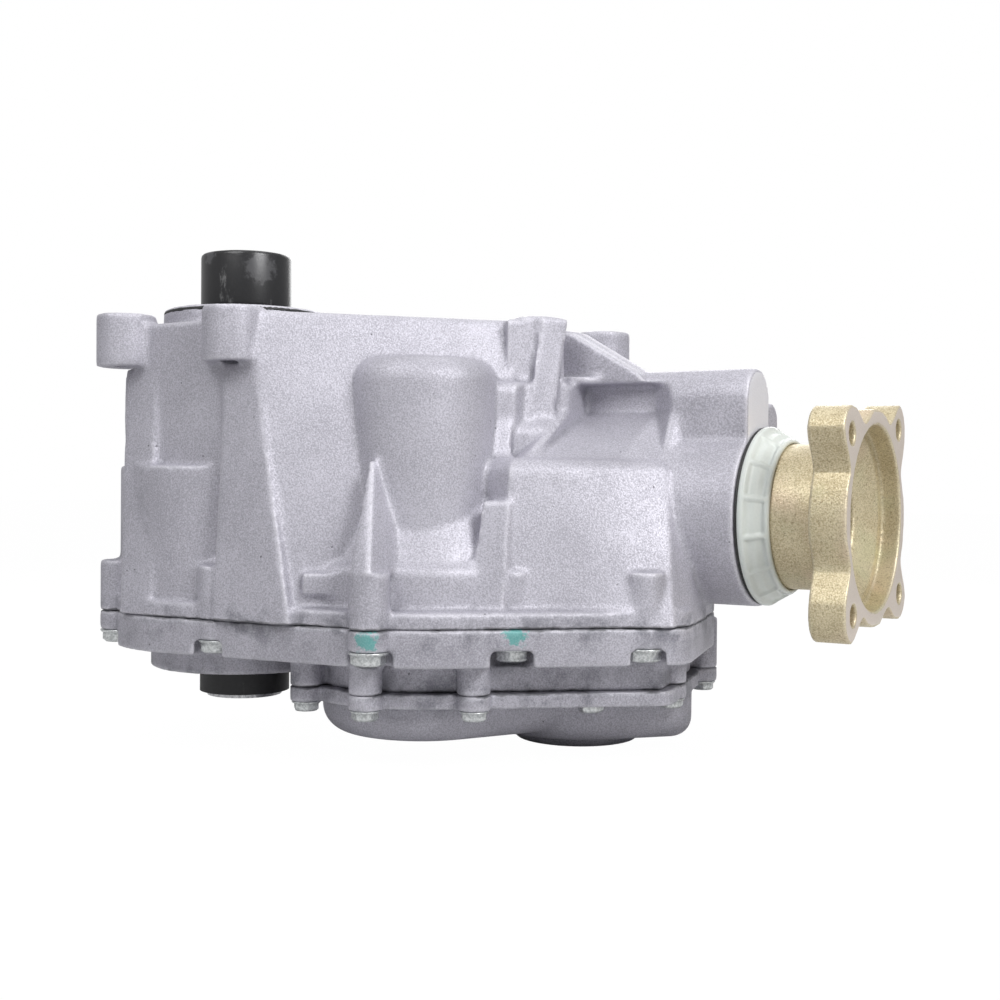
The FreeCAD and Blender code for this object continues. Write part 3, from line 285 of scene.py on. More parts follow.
def mathNode(tree, operation, a, b=0.0):
    node = addNode(tree, "ShaderNodeMath", operation=operation)
    setOrLink(tree, node.inputs[0], a)
    setOrLink(tree, node.inputs[1], b)
    return node.outputs[0]


def times(tree, a, b):
    return mathNode(tree, "MULTIPLY", a, b)


def plus(tree, a, b):
    return mathNode(tree, "ADD", a, b)


def minus(tree, a, b):
    return mathNode(tree, "SUBTRACT", a, b)


def rangeNode(tree, value, low, high, toLow=0.0, toHigh=1.0):
    # smooth step from one value to another as the input goes from low to high
    node = addNode(tree, "ShaderNodeMapRange", [("Value", value)], interpolation_type="SMOOTHSTEP")
    for label, setting in (("From Min", low), ("From Max", high), ("To Min", toLow), ("To Max", toHigh)):
        setOrLink(tree, node.inputs[label], setting)
    return node.outputs["Result"]


def mixColor(tree, share, first, second):
    node = addNode(tree, "ShaderNodeMix", data_type="RGBA")
    setOrLink(tree, node.inputs["Factor"], share)
    setOrLink(tree, node.inputs[6], first)
    setOrLink(tree, node.inputs[7], second)
    return node.outputs[2]


def noise(tree, vector, scale, detail=3.0, roughness=0.55):
    node = addNode(tree, "ShaderNodeTexNoise", [("Vector", vector)], detail=detail, roughness=roughness)
    setOrLink(tree, node.inputs["Scale"], scale)
    return node.outputs["Fac"]


def objectPlace(tree):
    return tree.nodes.new("ShaderNodeTexCoord").outputs["Object"]


def newGroup(name, inputs, outputs):
    # inputs (label, default) take a float or a vector; outputs are floats
    tree = bpy.data.node_groups.new(name, "ShaderNodeTree")
    for label, value in inputs:
        kind = "NodeSocketFloat" if isinstance(value, float) else "NodeSocketVector"
        tree.interface.new_socket(label, in_out="INPUT", socket_type=kind).default_value = value
    for label in outputs:
        tree.interface.new_socket(label, in_out="OUTPUT", socket_type="NodeSocketFloat")
    return tree, tree.nodes.new("NodeGroupInput").outputs, tree.nodes.new("NodeGroupOutput").inputs


def placed(tree, group, **values):
    node = tree.nodes.new("ShaderNodeGroup")
    node.node_tree = group
    for key, value in values.items():
        node.inputs[key].default_value = value
    return node.outputs


# Shader groups

grainValues = {"fineShare": 0.72, "cloudShare": 0.28, "coarse": 420.0, "reliefFine": 0.6, "reliefCoarse": 0.4,
               "pitCells": 230.0, "pitSize": (0.05, 0.14), "pitPatches": 90.0, "pitRarity": (0.60, 0.68)}


def makeCastGrain():
    # sand grain of a blasted casting: fine noise for the tone and the relief, small dark pits, broad cloudy patches
    values = grainValues
    tree, inside, outside = newGroup("castGrain", [("Grain", 1400.0), ("Cloud", 28.0), ("Pits", 0.5)],
                                     ["Tone", "Pit", "Relief"])
    where = objectPlace(tree)
    fine = noise(tree, where, inside["Grain"], 2.0, 0.6)
    cloud = noise(tree, where, inside["Cloud"], 4.0, 0.6)
    coarse = noise(tree, where, values["coarse"], 2.0, 0.6)
    cells = addNode(tree, "ShaderNodeTexVoronoi", [("Vector", where)], scale=values["pitCells"])
    dots = rangeNode(tree, cells.outputs["Distance"], *values["pitSize"], 1.0, 0.0)
    rare = rangeNode(tree, noise(tree, where, values["pitPatches"], 1.0), *values["pitRarity"])
    pit = times(tree, times(tree, dots, rare), inside["Pits"])
    tone = plus(tree, times(tree, fine, values["fineShare"]), times(tree, cloud, values["cloudShare"]))
    relief = plus(tree, times(tree, fine, values["reliefFine"]), times(tree, coarse, values["reliefCoarse"]))
    tree.links.new(tone, outside["Tone"])
    tree.links.new(pit, outside["Pit"])
    tree.links.new(minus(tree, relief, pit), outside["Relief"])
    return tree


grimeValues = {"wobbleScale": 160.0, "wobble": 0.0022, "lineFade": 2.4, "breakScale": 55.0, "breaks": (0.40, 0.60),
               "faintest": 0.15, "patchScale": 75.0, "patches": (0.44, 0.66)}


def makeJointGrime():
    # dark broken line and smudges along a joint that lies level at a height
    values = grimeValues
    tree, inside, outside = newGroup("jointGrime", [("Level", 0.0), ("Line", 0.0006), ("Smudge", 0.009)],
                                     ["Line", "Smudge"])
    where = objectPlace(tree)
    split = addNode(tree, "ShaderNodeSeparateXYZ", [("Vector", where)])
    wobble = times(tree, minus(tree, noise(tree, where, values["wobbleScale"]), 0.5), values["wobble"])
    height = mathNode(tree, "ABSOLUTE", plus(tree, minus(tree, split.outputs["Z"], inside["Level"]), wobble))
    line = rangeNode(tree, height, inside["Line"], times(tree, inside["Line"], values["lineFade"]), 1.0, 0.0)
    breaks = noise(tree, where, values["breakScale"], 4.0, 0.6)
    line = times(tree, line, rangeNode(tree, breaks, *values["breaks"], values["faintest"], 1.0))
    near = rangeNode(tree, height, 0.0, inside["Smudge"], 1.0, 0.0)
    patches = rangeNode(tree, noise(tree, where, values["patchScale"], 5.0, 0.65), *values["patches"])
    tree.links.new(line, outside["Line"])
    tree.links.new(times(tree, near, patches), outside["Smudge"])
    return tree


hollowValues = {"flatLow": 0.492, "flatHigh": 0.508, "low": 0.495, "high": 0.505}


def makeHollows():
    # mask of hollows and of edges, from how sharply the surface bends; a flat face reads one half
    values = hollowValues
    tree, inside, outside = newGroup("hollows", [("Spread", 0.06)], ["Hollow", "Edge"])
    bend = tree.nodes.new("ShaderNodeNewGeometry").outputs["Pointiness"]
    low = minus(tree, values["low"], inside["Spread"])
    high = plus(tree, values["high"], inside["Spread"])
    tree.links.new(rangeNode(tree, bend, low, values["flatLow"], 1.0, 0.0), outside["Hollow"])
    tree.links.new(rangeNode(tree, bend, values["flatHigh"], high), outside["Edge"])
    return tree


dabValues = {"scale": 300.0, "ragged": 0.014, "core": 0.55, "strength": 0.9}


def makePaintDab():
    # ragged dab round a place: distance from it, moved in and out by noise
    values = dabValues
    tree, inside, outside = newGroup("paintDab", [("Place", (0, 0, 0)), ("Radius", 0.006)], ["Mask"])
    where = objectPlace(tree)
    away = addNode(tree, "ShaderNodeVectorMath", [(0, where), (1, inside["Place"])], operation="DISTANCE")
    ragged = times(tree, minus(tree, noise(tree, where, values["scale"], 4.0, 0.7), 0.5), values["ragged"])
    ragged = plus(tree, away.outputs["Value"], ragged)
    core = times(tree, inside["Radius"], values["core"])
    tree.links.new(rangeNode(tree, ragged, core, inside["Radius"], values["strength"], 0.0), outside["Mask"])
    return tree


facingValues = {"looks": (0.93, 0.985), "fade": 0.0005}


def makeFacing():
    # mask of a flat face that looks along an axis and lies beyond a level on it
    values = facingValues
    tree, inside, outside = newGroup("facing", [("Axis", (0, 0, 1)), ("Level", 0.0)], ["Mask"])
    space = tree.nodes.new("ShaderNodeTexCoord").outputs
    turn, reach = (addNode(tree, "ShaderNodeVectorMath", [(0, space[label]), (1, inside["Axis"])],
                           operation="DOT_PRODUCT").outputs["Value"] for label in ("Normal", "Object"))
    looks = rangeNode(tree, turn, *values["looks"])
    beyond = rangeNode(tree, minus(tree, reach, inside["Level"]), -values["fade"], 0.0)
    tree.links.new(times(tree, looks, beyond), outside["Mask"])
    return tree


grainGroup, grimeGroup, hollowGroup = makeCastGrain(), makeJointGrime(), makeHollows()
dabGroup, facingGroup = makePaintDab(), makeFacing()

# Materials

toneSpan = (0.36, 0.64)  # the grain's tone goes from the dark to the pale colour over this span
roughSpan = (0.3, 0.7)


def newMaterial(name, **sockets):
    material = bpy.data.materials.new(name)
    material.use_nodes = True
    shader = material.node_tree.nodes["Principled BSDF"]
    for key, value in sockets.items():
        shader.inputs[key.replace("_", " ").title().replace("Ior", "IOR")].default_value = value
    return material, material.node_tree, shader


def bumpFrom(tree, shader, height, distance, strength):
    bump = addNode(tree, "ShaderNodeBump", [("Height", height)], distance=distance, strength=strength)
    tree.links.new(bump.outputs["Normal"], shader.inputs["Normal"])


castValues = {
    "pale": (0.560, 0.548, 0.610), "dark": (0.365, 0.356, 0.400), "pit": (0.10, 0.10, 0.11),
    # grime: dark colour of the smudges along the joints and of the painted shade in the hollows
    "grimeAndShade": (0.09, 0.095, 0.115), "edge": (0.72, 0.71, 0.76), "machined": (0.86, 0.85, 0.90),
    "paint": (0.05, 0.36, 0.33), "grain": 1500.0, "cloud": 26.0, "pits": 0.8, "spread": 0.05,
    "edgeShare": 0.45, "hollowShare": 0.40, "line": 0.0005, "smudgeShare": 0.6, "lineShare": 0.8, "paintShare": 0.8,
    "rough": (0.62, 0.48), "polish": 0.2, "metallic": 0.35, "relief": 0.00035, "bump": 0.55,
    "seamLevels": (-0.1345, -0.163),
}


def castMaterial(name, paintedShadeFactor, paintPlaces, machinedFaces, smudge):
    # blasted aluminium: grain, pale edges, painted shade in the hollows, grime along the joints, machined faces and
    # dabs of paint
    values = castValues
    material, tree, shader = newMaterial(name, metallic=values["metallic"], specular_ior_level=0.5)
    grain = placed(tree, grainGroup, Grain=values["grain"], Cloud=values["cloud"], Pits=values["pits"])
    hollows = placed(tree, hollowGroup, Spread=values["spread"])
    # the dark and pale colours scaled by a factor: below 1 it paints shade over the whole casting
    dark, pale = ([part * paintedShadeFactor for part in values[key]] for key in ("dark", "pale"))
    color = mixColor(tree, rangeNode(tree, grain["Tone"], *toneSpan), dark, pale)
    color = mixColor(tree, times(tree, hollows["Edge"], values["edgeShare"]), color, values["edge"])
    # painted shade: hollows and creases darkened, standing in for the shade that falls there
    color = mixColor(tree, times(tree, hollows["Hollow"], values["hollowShare"]), color, values["grimeAndShade"])
    color = mixColor(tree, grain["Pit"], color, values["pit"])
    for level in values["seamLevels"]:
        grimeAndShade = placed(tree, grimeGroup, Level=level, Line=values["line"], Smudge=smudge)
        color = mixColor(tree, times(tree, grimeAndShade["Smudge"], values["smudgeShare"]), color, values["grimeAndShade"])
        color = mixColor(tree, times(tree, grimeAndShade["Line"], values["lineShare"]), color, values["pit"])
    rough = rangeNode(tree, grain["Tone"], *roughSpan, *values["rough"])
    for axis, level in machinedFaces:
        face = placed(tree, facingGroup, Axis=axis, Level=level)["Mask"]
        color = mixColor(tree, face, color, values["machined"])
        rough = minus(tree, rough, times(tree, face, values["polish"]))
    for place, radius in paintPlaces:
        dab = placed(tree, dabGroup, Place=place, Radius=radius)["Mask"]
        color = mixColor(tree, times(tree, dab, values["paintShare"]), color, values["paint"])
    tree.links.new(color, shader.inputs["Base Color"])
    tree.links.new(rough, shader.inputs["Roughness"])
    bumpFrom(tree, shader, grain["Relief"], values["relief"], values["bump"])
    return material


metalValues = {
    "zincBolt": {"pale": (0.78, 0.80, 0.80), "dark": (0.48, 0.50, 0.50), "rough": (0.44, 0.28), "grain": 900.0,
                 "relief": 0.0002},
    "steel": {"pale": (0.62, 0.62, 0.63), "dark": (0.40, 0.40, 0.42), "rough": (0.40, 0.24), "grain": 700.0,
              "relief": 0.0001},
    "softWasher": {"pale": (0.80, 0.80, 0.80), "dark": (0.6, 0.6, 0.6), "rough": (0.50, 0.34), "grain": 700.0,
                   "relief": 0.0001},
}
metalGrain = {"metallic": 0.9, "cloud": 60.0, "pits": 0.3, "pitShare": 0.8, "pitShade": 0.3, "bump": 0.5}


def metalMaterial(name):
    # plated or ground steel: cloudy colour, fine relief, pits in a shade of the dark colour
    values = {**metalGrain, **metalValues[name]}
    material, tree, shader = newMaterial(name, metallic=values["metallic"])
    grain = placed(tree, grainGroup, Grain=values["grain"], Cloud=values["cloud"], Pits=values["pits"])
    color = mixColor(tree, rangeNode(tree, grain["Tone"], *toneSpan), values["dark"], values["pale"])
    pitColor = [part * values["pitShade"] for part in values["dark"]]
    color = mixColor(tree, times(tree, grain["Pit"], values["pitShare"]), color, pitColor)
    tree.links.new(color, shader.inputs["Base Color"])
    tree.links.new(rangeNode(tree, grain["Tone"], *roughSpan, *values["rough"]), shader.inputs["Roughness"])
    bumpFrom(tree, shader, grain["Relief"], values["relief"], values["bump"])
    return material


plasticValues = {
    "blackPlastic": {"pale": (0.022, 0.022, 0.024), "dark": (0.012, 0.012, 0.013), "rough": 0.30, "relief": 0.0001,
                     "scuffShare": 0.35,
                     # first spot: painted highlight on the cap's side towards the key light, where its reflection
                     # falls; second: a small pale rub near the cap's top
                     "highlightAndRubSpots": [((0.0180, -0.0115, 0.0240), 0.0085), ((-0.004, -0.021, 0.030), 0.004)]},
    "sealRubber": {"pale": (0.030, 0.030, 0.031), "dark": (0.015, 0.015, 0.016), "rough": 0.55, "relief": 0.0001,
                   "scuffShare": 0.15, "highlightAndRubSpots": []},
    "whitePlastic": {"pale": (0.72, 0.75, 0.72), "dark": (0.60, 0.64, 0.61), "rough": 0.38, "relief": 0.00008,
                     "scuffShare": 0.0, "highlightAndRubSpots": []},
}
scuffValues = {"grain": 900.0, "cloud": 80.0, "pits": 0.2, "bump": 0.5, "stretch": (1.0, 1.0, 0.35), "scale": 130.0,
               "span": (0.60, 0.74), "color": (0.42, 0.42, 0.42), "roughGain": 0.25, "highlightAndRubShare": 0.16,
               "highlightAndRubColor": (0.40, 0.40, 0.42)}


def plasticMaterial(name):
    # moulded plastic or rubber: even colour, pale scuffs drawn out along Z, and pale spots: a painted highlight and
    # rubbed places
    values = {**scuffValues, **plasticValues[name]}
    material, tree, shader = newMaterial(name, metallic=0.0)
    grain = placed(tree, grainGroup, Grain=values["grain"], Cloud=values["cloud"], Pits=values["pits"])
    color = mixColor(tree, grain["Tone"], values["dark"], values["pale"])
    streaks = addNode(tree, "ShaderNodeMapping", [("Vector", objectPlace(tree))], vector_type="POINT",
                      scale=values["stretch"])
    marks = noise(tree, streaks.outputs["Vector"], values["scale"], 6.0, 0.75)
    marks = rangeNode(tree, marks, *values["span"])
    color = mixColor(tree, times(tree, marks, values["scuffShare"]), color, values["color"])
    # pale spots mixed into the colour: a painted highlight and rubs
    for place, radius in values["highlightAndRubSpots"]:
        spotMask = placed(tree, dabGroup, Place=place, Radius=radius)["Mask"]
        color = mixColor(tree, times(tree, spotMask, values["highlightAndRubShare"]), color, values["highlightAndRubColor"])
    tree.links.new(color, shader.inputs["Base Color"])
    rough = plus(tree, times(tree, marks, values["roughGain"]), values["rough"])
    tree.links.new(rough, shader.inputs["Roughness"])
    bumpFrom(tree, shader, grain["Relief"], values["relief"], values["bump"])
    return material


flangeLooks = {
    "dark": (0.47, 0.39, 0.24), "pale": (0.70, 0.62, 0.43), "green": (0.52, 0.56, 0.36), "pink": (0.74, 0.56, 0.46),
    # hollow: colour of the painted shade in the flange's hollows
    "speckle": (0.20, 0.15, 0.08), "machined": (0.80, 0.71, 0.64), "hollow": (0.22, 0.18, 0.10),
    "edge": (0.90, 0.83, 0.66), "metallic": 0.55, "rough": (0.55, 0.40), "polish": 0.08, "relief": 0.0005,
    "bump": 0.6, "grain": 1500.0, "cloud": 70.0, "pits": 0.4, "spread": 0.06, "front": float(outputAxis[0]) - 0.0004,
    "frontShare": 0.85, "hollowShare": 0.45, "edgeShare": 0.4,
    # clouds and speckle: scale, detail and roughness of a noise, and the span of it that shows up to a share
    "greenNoise": (30.0, 3.0, 0.55), "greenSpan": (0.50, 0.66, 0.0, 0.30),
    "pinkNoise": (42.0, 2.0, 0.4), "pinkSpan": (0.52, 0.70, 0.0, 0.28),
    "speckleNoise": (950.0, 2.0, 0.7), "speckleSpan": (0.56, 0.68, 0.0, 0.5),
}


def flangeMaterial():
    # yellow passivated forging: gold with faint green and pink clouds and a fine dark speckle; machined front paler;
    # painted shade in the hollows
    values = flangeLooks
    material, tree, shader = newMaterial("yellowZinc", metallic=values["metallic"])
    where = objectPlace(tree)
    grain = placed(tree, grainGroup, Grain=values["grain"], Cloud=values["cloud"], Pits=values["pits"])
    color = mixColor(tree, rangeNode(tree, grain["Tone"], *toneSpan), values["dark"], values["pale"])
    for cloud in ("green", "pink", "speckle"):
        share = rangeNode(tree, noise(tree, where, *values[cloud + "Noise"]), *values[cloud + "Span"])
        color = mixColor(tree, share, color, values[cloud])
    face = placed(tree, facingGroup, Axis=(1, 0, 0), Level=values["front"])["Mask"]
    color = mixColor(tree, times(tree, face, values["frontShare"]), color, values["machined"])
    hollows = placed(tree, hollowGroup, Spread=values["spread"])
    # painted shade: the flange's hollows darkened, standing in for the shade that falls there
    color = mixColor(tree, times(tree, hollows["Hollow"], values["hollowShare"]), color, values["hollow"])
    color = mixColor(tree, times(tree, hollows["Edge"], values["edgeShare"]), color, values["edge"])
    tree.links.new(color, shader.inputs["Base Color"])
    rough = rangeNode(tree, grain["Tone"], *roughSpan, *values["rough"])
    tree.links.new(minus(tree, rough, times(tree, face, values["polish"])), shader.inputs["Roughness"])
    bumpFrom(tree, shader, grain["Relief"], values["relief"], values["bump"])
    return material


paintPlaces = [((0.1127, -0.0555, -0.1385), 0.0055), ((0.1580, -0.0150, -0.1368), 0.0050)]  # place, radius
machinedFaces = [((0, 0, 1), -0.0003), ((1, 0, 0), 0.2279)]  # axis, level
finishes = {
    # the covers, the lower castings, take colours 0.93 as bright as the housing's: painted shade
    "cast_housing": castMaterial("castHousing", paintedShadeFactor=1.0, paintPlaces=[], machinedFaces=machinedFaces, smudge=0.010),
    "cast_cover": castMaterial("castCover", paintedShadeFactor=0.93, paintPlaces=paintPlaces, machinedFaces=[], smudge=0.016),
    "zinc_bolts": metalMaterial("zincBolt"),
    "steel": metalMaterial("steel"),
    "soft_washer": metalMaterial("softWasher"),
    "yellow_zinc": flangeMaterial(),
    "black_plastic": plasticMaterial("blackPlastic"),
    "seal_rubber": plasticMaterial("sealRubber"),
    "white_plastic": plasticMaterial("whitePlastic"),
}
milky = {"Subsurface Weight": 0.4, "Subsurface Radius": (0.004, 0.004, 0.004)}
for label, value in milky.items():
    finishes["white_plastic"].node_tree.nodes["Principled BSDF"].inputs[label].default_value = value
for part in frame["record"]["subparts"]:
    node = nodes[part["node"]]
    if not node.data.materials:
        node.data.materials.append(None)
    for slot in node.material_slots:
        slot.material = finishes[part["material_slot"]]
print("materials made")

# Castings and the forged flange

# shallow roof of the ring gear chamber between the third lug and the pad, sloping down to the front wall
chamberTop = [(137, 0), (194, 0), (194, 60), (182, 69.5), (146, 69.5), (149.5, 47), (142, 35.5), (137, 31)]
chamberFoot = [(137, 0), (194, 0), (194, 49), (181, 37), (150, 13), (149, 12), (143, 10), (137, 9)]
chamberSlope = [(-64, chamberFoot), (-42, chamberTop), (-29.4, chamberTop)]
# wedge under the third lug, and the joint beside it
lugWedge = [(-62, [(133, 36), (138, 24), (146, 34), (136, 54)]),
            (-0.4, [(128, 42), (141.5, 34.5), (149, 46), (136, 56)])]
lugJoint = [(-31, [(130, 24), (136, 31.5), (128, 41), (122, 34)]),
            (-1.6, [(130, 24), (135, 32), (128, 41), (122, 34)])]
pocketValues = {"centre": (149, -2.7), "radius": 8.9, "towards": (0.51, -0.86), "length": 32,
                "heights": (-152, -143.6)}


def boltPocket(values):
    # open slot for a bolt head: half a circle behind the bolt, straight sides out past the rim's front
    centre, radius = np.array(values["centre"]), values["radius"]
    towards = np.array(values["towards"]) / math.hypot(*values["towards"])
    beside = np.array([-towards[1], towards[0]])
    turn = np.linspace(0, math.pi, 17)[:, None]
    back = centre + radius * (beside * np.cos(turn) - towards * np.sin(turn))
    front = back[[-1, 0]] + towards * values["length"]
    return [(height, np.concatenate([back, front])) for height in values["heights"]]


# Outline of the flange's plate over an eighth turn from a lobe: lobe, a dip, and the round body.
# The old outline is the line that leaves a lobe until it meets the body; radii up to keep stay
flangeOutline = {"turn": (9, 11.5, 14, 17, 20, 24, 29, 45), "new": (63.0, 58.0, 51.5, 46.9, 45.1, 45.3, 46.2, 46.4),
                 "line": 43.0, "lineTurn": 56.1, "body": 46.0, "keep": 41.0}


def forgedOutline(points):
    # each point beyond the kept radius moves in or out in proportion, so that the old outline becomes the new one
    values, keep = flangeOutline, flangeOutline["keep"]
    away = points[:, 1:] - outputAxis[1:]
    radius = np.hypot(away[:, 0], away[:, 1]) / mm
    turn = np.abs(np.degrees(np.arctan2(away[:, 1], away[:, 0])) % 90 - 45)
    old = np.maximum(values["line"] / np.cos(np.radians(values["lineTurn"] - turn)), values["body"])
    new = np.interp(turn, values["turn"], values["new"])
    stretch = np.where(turn > values["turn"][0], (new - keep) / (old - keep), 1.0)
    grown = keep + (radius - keep) * stretch
    share = np.where(radius > keep, grown / radius, 1.0)
    points = points.copy()
    points[:, 1:] = outputAxis[1:] + away * share[:, None]
    return points


def sameShape(points):
    return points


seams = castValues["seamLevels"]
castings = {
    "main_housing": {"name": "softHousing", "cell": 0.0013, "passes": 5, "triangles": 195000, "body": "case",
                     "slot": "cast_housing", "joints": seams, "reshape": sameShape,
                     "shaping": [("DIFFERENCE", chamberSlope), ("UNION", lugWedge), ("UNION", lugJoint)]},
    "middle_cover": {"name": "softMiddleCover", "cell": 0.0012, "passes": 4, "triangles": 150000, "body": "case",
                     "slot": "cast_cover", "joints": seams, "reshape": sameShape,
                     "shaping": [("DIFFERENCE", boltPocket(pocketValues))]},
    "lower_cover": {"name": "softLowerCover", "cell": 0.0012, "passes": 4, "triangles": 120000, "body": "case",
                    "slot": "cast_cover", "joints": seams, "reshape": sameShape, "shaping": []},
    "output_flange": {"name": "softFlange", "cell": 0.0008, "passes": 4, "triangles": 150000, "body": "output",
                      "slot": "yellow_zinc", "joints": (), "reshape": forgedOutline, "shaping": []},
}
for node, values in castings.items():
    piece = softened(node, values, finishes[values["slot"]])
    print(values["name"], len(piece.data.polygons), "faces")

# Cover bolts: stem, flange and chamfered hexagon in one grid

boltValues = {
    "middle_cover_bolts": {"flat": 6.5 * mm, "flange": 8.4 * mm, "brim": 1.6 * mm, "rise": 5.6 * mm},
    "lower_cover_bolts": {"flat": 5.0 * mm, "flange": 6.3 * mm, "brim": 1.2 * mm, "rise": 4.2 * mm},
}
boltColumns = 72
boltTurn = 1.7  # radians that each bolt stands turned past the one before
tip = 0.0001 * mm  # radius of the rings that close a bolt's ends


def boltPoints(values, low, high):
    # rows are stations up the bolt; a row's radius is its round radius, or the hexagon's where that is smaller
    flat, flange, brim = values["flat"], values["flange"], values["brim"]
    top, corner, stem = low + values["rise"], values["flat"] / math.cos(math.pi / 6), values["flat"] * 0.6
    dish = [(tip, low + 0.9 * mm), (flat * 0.55, low + 0.8 * mm), (flat * 0.66, low), (flat * 0.93, low)]
    hexagon = [(corner, low + 0.9 * mm), (corner * 1.02, low + 1.2 * mm), (corner * 1.02, top - brim)]
    plate = [(flange * 0.94, top - brim * 0.75), (flange, top - brim * 0.4), (flange, top - 0.15 * mm),
             (flange * 0.98, top)]
    shank = [(stem, top), (stem, high - 1 * mm), (stem - 0.8 * mm, high), (tip, high)]
    stations = np.array(dish + hexagon + plate + shank)
    angle = ringAngles(boltColumns)
    flats = flat / np.cos((angle % (math.pi / 3)) - math.pi / 6)
    isHexagon = np.zeros((len(stations), 1), bool)
    isHexagon[len(dish):len(dish) + len(hexagon)] = True
    radius = np.where(isHexagon, np.minimum(stations[:, :1], flats * 0.995), stations[:, :1])
    return roundPoints(radius, stations[:, 1:], angle), len(stations)


for node, values in boltValues.items():
    points, faces, start = [], [], 0
    for count, (low, high) in enumerate(looseBoxes(node)):
        centre = (low + high) / 2
        local, rows = boltPoints(values, low[2], high[2])
        turn = Matrix.Rotation(boltTurn * count, 3, "Z")
        points.append(local @ np.array(turn).T + [centre[0], centre[1], 0])
        faces.append(gridFaces(rows, boltColumns) + start)
        start += len(local)
    piece = meshPiece(node + "Shaped", np.concatenate(points), np.concatenate(faces), "case",
                      finishes["zinc_bolts"])
    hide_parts(node)
print("bolts made")

# Dust cap

capValues = {"wall": 1.9 * mm, "edge": 1.8 * mm, "middle": 0.2 * mm}
capLow, capHigh = boxOf("dust_cap")
capRadius, capHeight = capHigh[0], capHigh[2] - capLow[2]
capBore, capRoof = capRadius - capValues["wall"], capHeight - capValues["wall"]
capCorners = [(capValues["middle"], capRoof), (capBore, capRoof), (capBore, 0), (capRadius, 0),
              (capRadius, capHeight), (capValues["middle"], capHeight)]
cap = turnedPiece("shapedCap", capCorners, capValues["edge"], (0, 0, capLow[2]), (0, 0, 1), "cap",
                  finishes["black_plastic"])
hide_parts("dust_cap")
print("cap made")

# Plastic deflector behind the flange: a cone with sunken panels between ribs

deflectorValues = {
    "ribs": 14, "sunk": 1.5 * mm, "rib": 0.9 * mm, "ramp": 0.6 * mm, "bore": 32.2 * mm, "rim": 1.8 * mm,
    "narrow": 6.0 * mm, "edge": 0.5 * mm, "columns": 336,
    "rows": (0, 0.10, 0.13, 0.28, 0.40, 0.52, 0.64, 0.80, 0.83, 1.0),  # places down the cone
    "depths": (0, 0, 0.8, 0.9, 0.55, 0.55, 0.9, 1, 0, 0),  # how deep a panel is there, as shares of sunk
}


def deflectorPoints(values, outer, length):
    # rows run over the rim, down the cone and back through the bore; panel rows sink except where a rib stands
    edge, rim = values["edge"], values["rim"]
    slope = values["narrow"] / (length - rim)
    height = rim + np.array(values["rows"]) * (length - rim)
    cone = outer - slope * (height - rim)
    radii = np.concatenate([[outer - edge, outer], cone, [cone[-1] - edge, values["bore"], values["bore"]]])
    heights = np.concatenate([[0, edge], height, [length, length, 0]])
    heights[-4] = length - 0.4 * mm
    depth = np.concatenate([[0, 0], values["depths"], [0, 0, 0]]) * values["sunk"]
    angle = ringAngles(values["columns"])
    pitch = 2 * math.pi / values["ribs"]
    away = np.abs((angle + pitch / 2) % pitch - pitch / 2) * outer
    between = np.clip((away - values["rib"]) / values["ramp"], 0, 1)
    radius = radii[:, None] - depth[:, None] * between
    return roundPoints(radius, heights[:, None], angle), len(radii)


low, high = boxOf("dust_deflector")
local, rows = deflectorPoints(deflectorValues, (high[2] - low[2]) / 2, high[0] - low[0])
deflector = meshPiece("ribbedDeflector", alongAxis(local, (low[0], outputAxis[1], outputAxis[2]), (1, 0, 0)),
                      gridFaces(rows, deflectorValues["columns"], True), "output",
                      finishes["white_plastic"])
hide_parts("dust_deflector")

# Dark ring of seal rubber in the gap between nose and deflector: painted shade, a dark piece standing in for the
# shadow in the gap
gapShadeValues = {"inner": 34.5 * mm, "outer": 39.3 * mm, "gap": 0.15 * mm, "edge": 0.2 * mm}
noseEnd = boxOf("main_housing")[1][0]
gapShadeWidth = low[0] - noseEnd - 2 * gapShadeValues["gap"]
gapShadeCorners = [(gapShadeValues["inner"], 0), (gapShadeValues["outer"], 0), (gapShadeValues["outer"], gapShadeWidth),
              (gapShadeValues["inner"], gapShadeWidth)]
turnedPiece("gapShadeRing", gapShadeCorners, gapShadeValues["edge"], (noseEnd + gapShadeValues["gap"], outputAxis[1], outputAxis[2]),
            (1, 0, 0), "case", finishes["seal_rubber"])
print("deflector and lip made")

# Studio: floor, world, lights and camera

studioValues = {"span": 6.0, "below": 0.0005, "floor": 0.70, "floorGlow": 1.02, "floorShare": 0.97,
                "sky": (0.90, 0.91, 0.94), "skyStrength": 0.23, "glossyShare": 0.40}


def whiteFrom(tree, kind, strength):
    node = addNode(tree, kind, strength=strength)
    node.inputs["Color"].default_value = (1, 1, 1, 1)
    return node.outputs[0]


allLow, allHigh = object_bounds()
floorMesh = bpy.data.meshes.new("floor")
span = studioValues["span"]
level = allLow[2] - studioValues["below"]
floorCorners = [(-span, -span, level), (span, -span, level), (span, span, level), (-span, span, level)]
floorMesh.from_pydata(floorCorners, [], [(0, 1, 2, 3)])
floor = linked(bpy.data.objects.new("floor", floorMesh))
floorMaterial, tree, shader = newMaterial("paleFloor", base_color=(*[studioValues["floor"]] * 3, 1), roughness=0.9)
glow = whiteFrom(tree, "ShaderNodeEmission", studioValues["floorGlow"])
seen = tree.nodes.new("ShaderNodeLightPath").outputs["Is Camera Ray"]
seen = times(tree, seen, studioValues["floorShare"])
mix = addNode(tree, "ShaderNodeMixShader", [(0, seen), (1, shader.outputs[0]), (2, glow)])
tree.links.new(mix.outputs[0], tree.nodes["Material Output"].inputs["Surface"])
floorMesh.materials.append(floorMaterial)

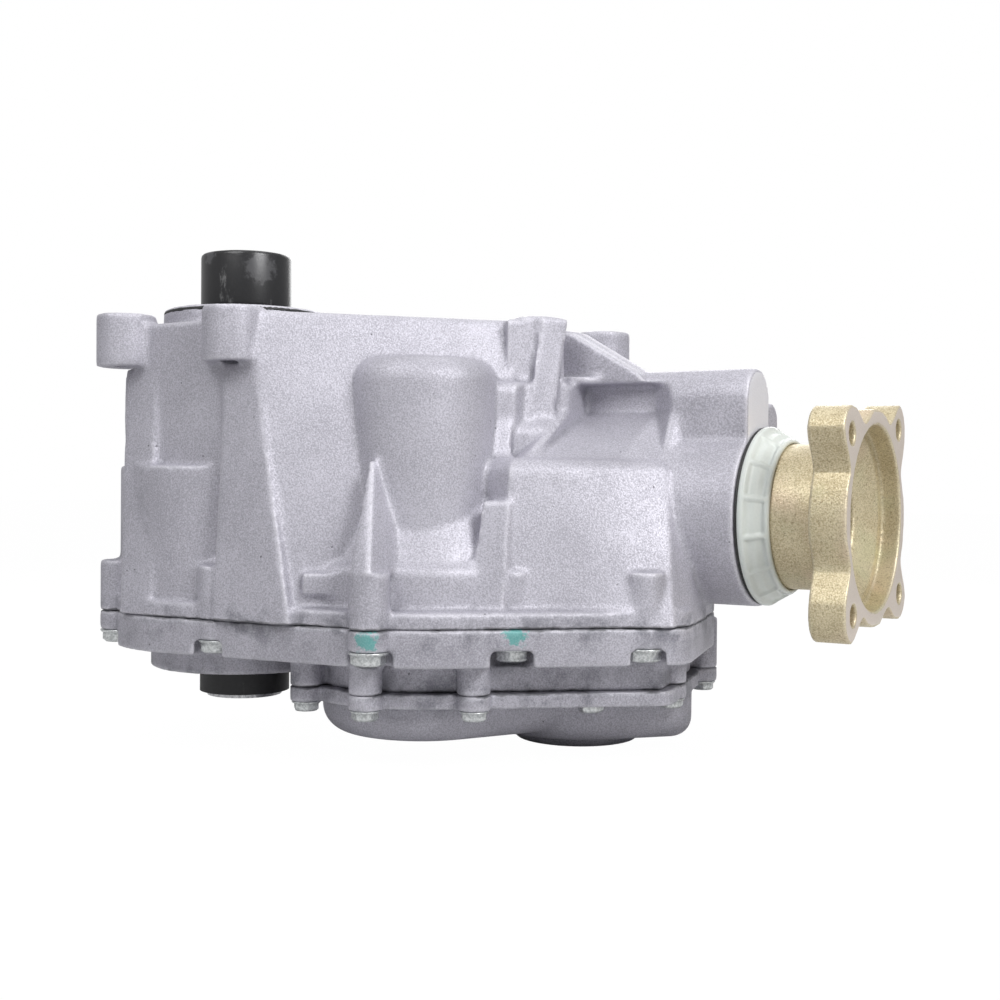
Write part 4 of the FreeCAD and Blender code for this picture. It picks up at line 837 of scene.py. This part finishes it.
world = bpy.data.worlds.new("studio")
bpy.context.scene.world = world
world.use_nodes = True
tree = world.node_tree
sky = tree.nodes["Background"]
sky.inputs["Color"].default_value = (*studioValues["sky"], 1)
sky.inputs["Strength"].default_value = studioValues["skyStrength"]
white = whiteFrom(tree, "ShaderNodeBackground", 1.0)
path = tree.nodes.new("ShaderNodeLightPath").outputs
seen = mathNode(tree, "MAXIMUM", path["Is Camera Ray"], path["Is Transmission Ray"])
seen = mathNode(tree, "MAXIMUM", seen, times(tree, path["Is Glossy Ray"], studioValues["glossyShare"]))
mix = addNode(tree, "ShaderNodeMixShader", [(0, seen), (1, sky.outputs[0]), (2, white)])
tree.links.new(mix.outputs[0], tree.nodes["World Output"].inputs["Surface"])

lights = {  # places and targets from the object's middle, metres; power in watts
    "keyLight": {"place": (0.85, -0.30, 0.62), "target": (0, 0, 0), "width": 0.40, "power": 7.6},
    "fillLight": {"place": (-0.06, -0.52, 0.50), "target": (-0.03, 0, 0.02), "width": 0.32, "power": 2.0},
    "rearLight": {"place": (-0.35, 0.95, 0.40), "target": (0, 0, 0), "width": 0.7, "power": 6.0},
    "topLight": {"place": (-0.05, 0.10, 0.9), "target": (0, 0, 0), "width": 0.6, "power": 1.8},
}
middle = (np.array(allLow) + np.array(allHigh)) / 2
for name, values in lights.items():
    light = bpy.data.lights.new(name, "AREA")
    light.size = values["width"]
    light.energy = values["power"]
    item = linked(bpy.data.objects.new(name, light))
    item.location = middle + values["place"]
    towards = Vector(middle + values["target"]) - Vector(middle + values["place"])
    item.rotation_euler = towards.to_track_quat("-Z", "Y").to_euler()

cameraValues = {"place": (0.42665, -0.48175, -0.0750), "right": (0.8601491, 0.50997025, 0.00859498),
                "up": (-0.01371244, 0.00627633, 0.99988628), "back": (0.50985831, -0.86016914, 0.01239152),
                "lens": 47.617, "clip": 0.01}
camera = linked(bpy.data.objects.new("camera", bpy.data.cameras.new("camera")))
camera.data.lens = cameraValues["lens"]
camera.data.clip_start = cameraValues["clip"]
turn = Matrix([cameraValues["right"], cameraValues["up"], cameraValues["back"]]).transposed()
camera.matrix_world = Matrix.Translation(cameraValues["place"]) @ turn.to_4x4()
bpy.context.scene.camera = camera
bpy.context.scene.view_settings.view_transform = "Standard"

print("scene done")
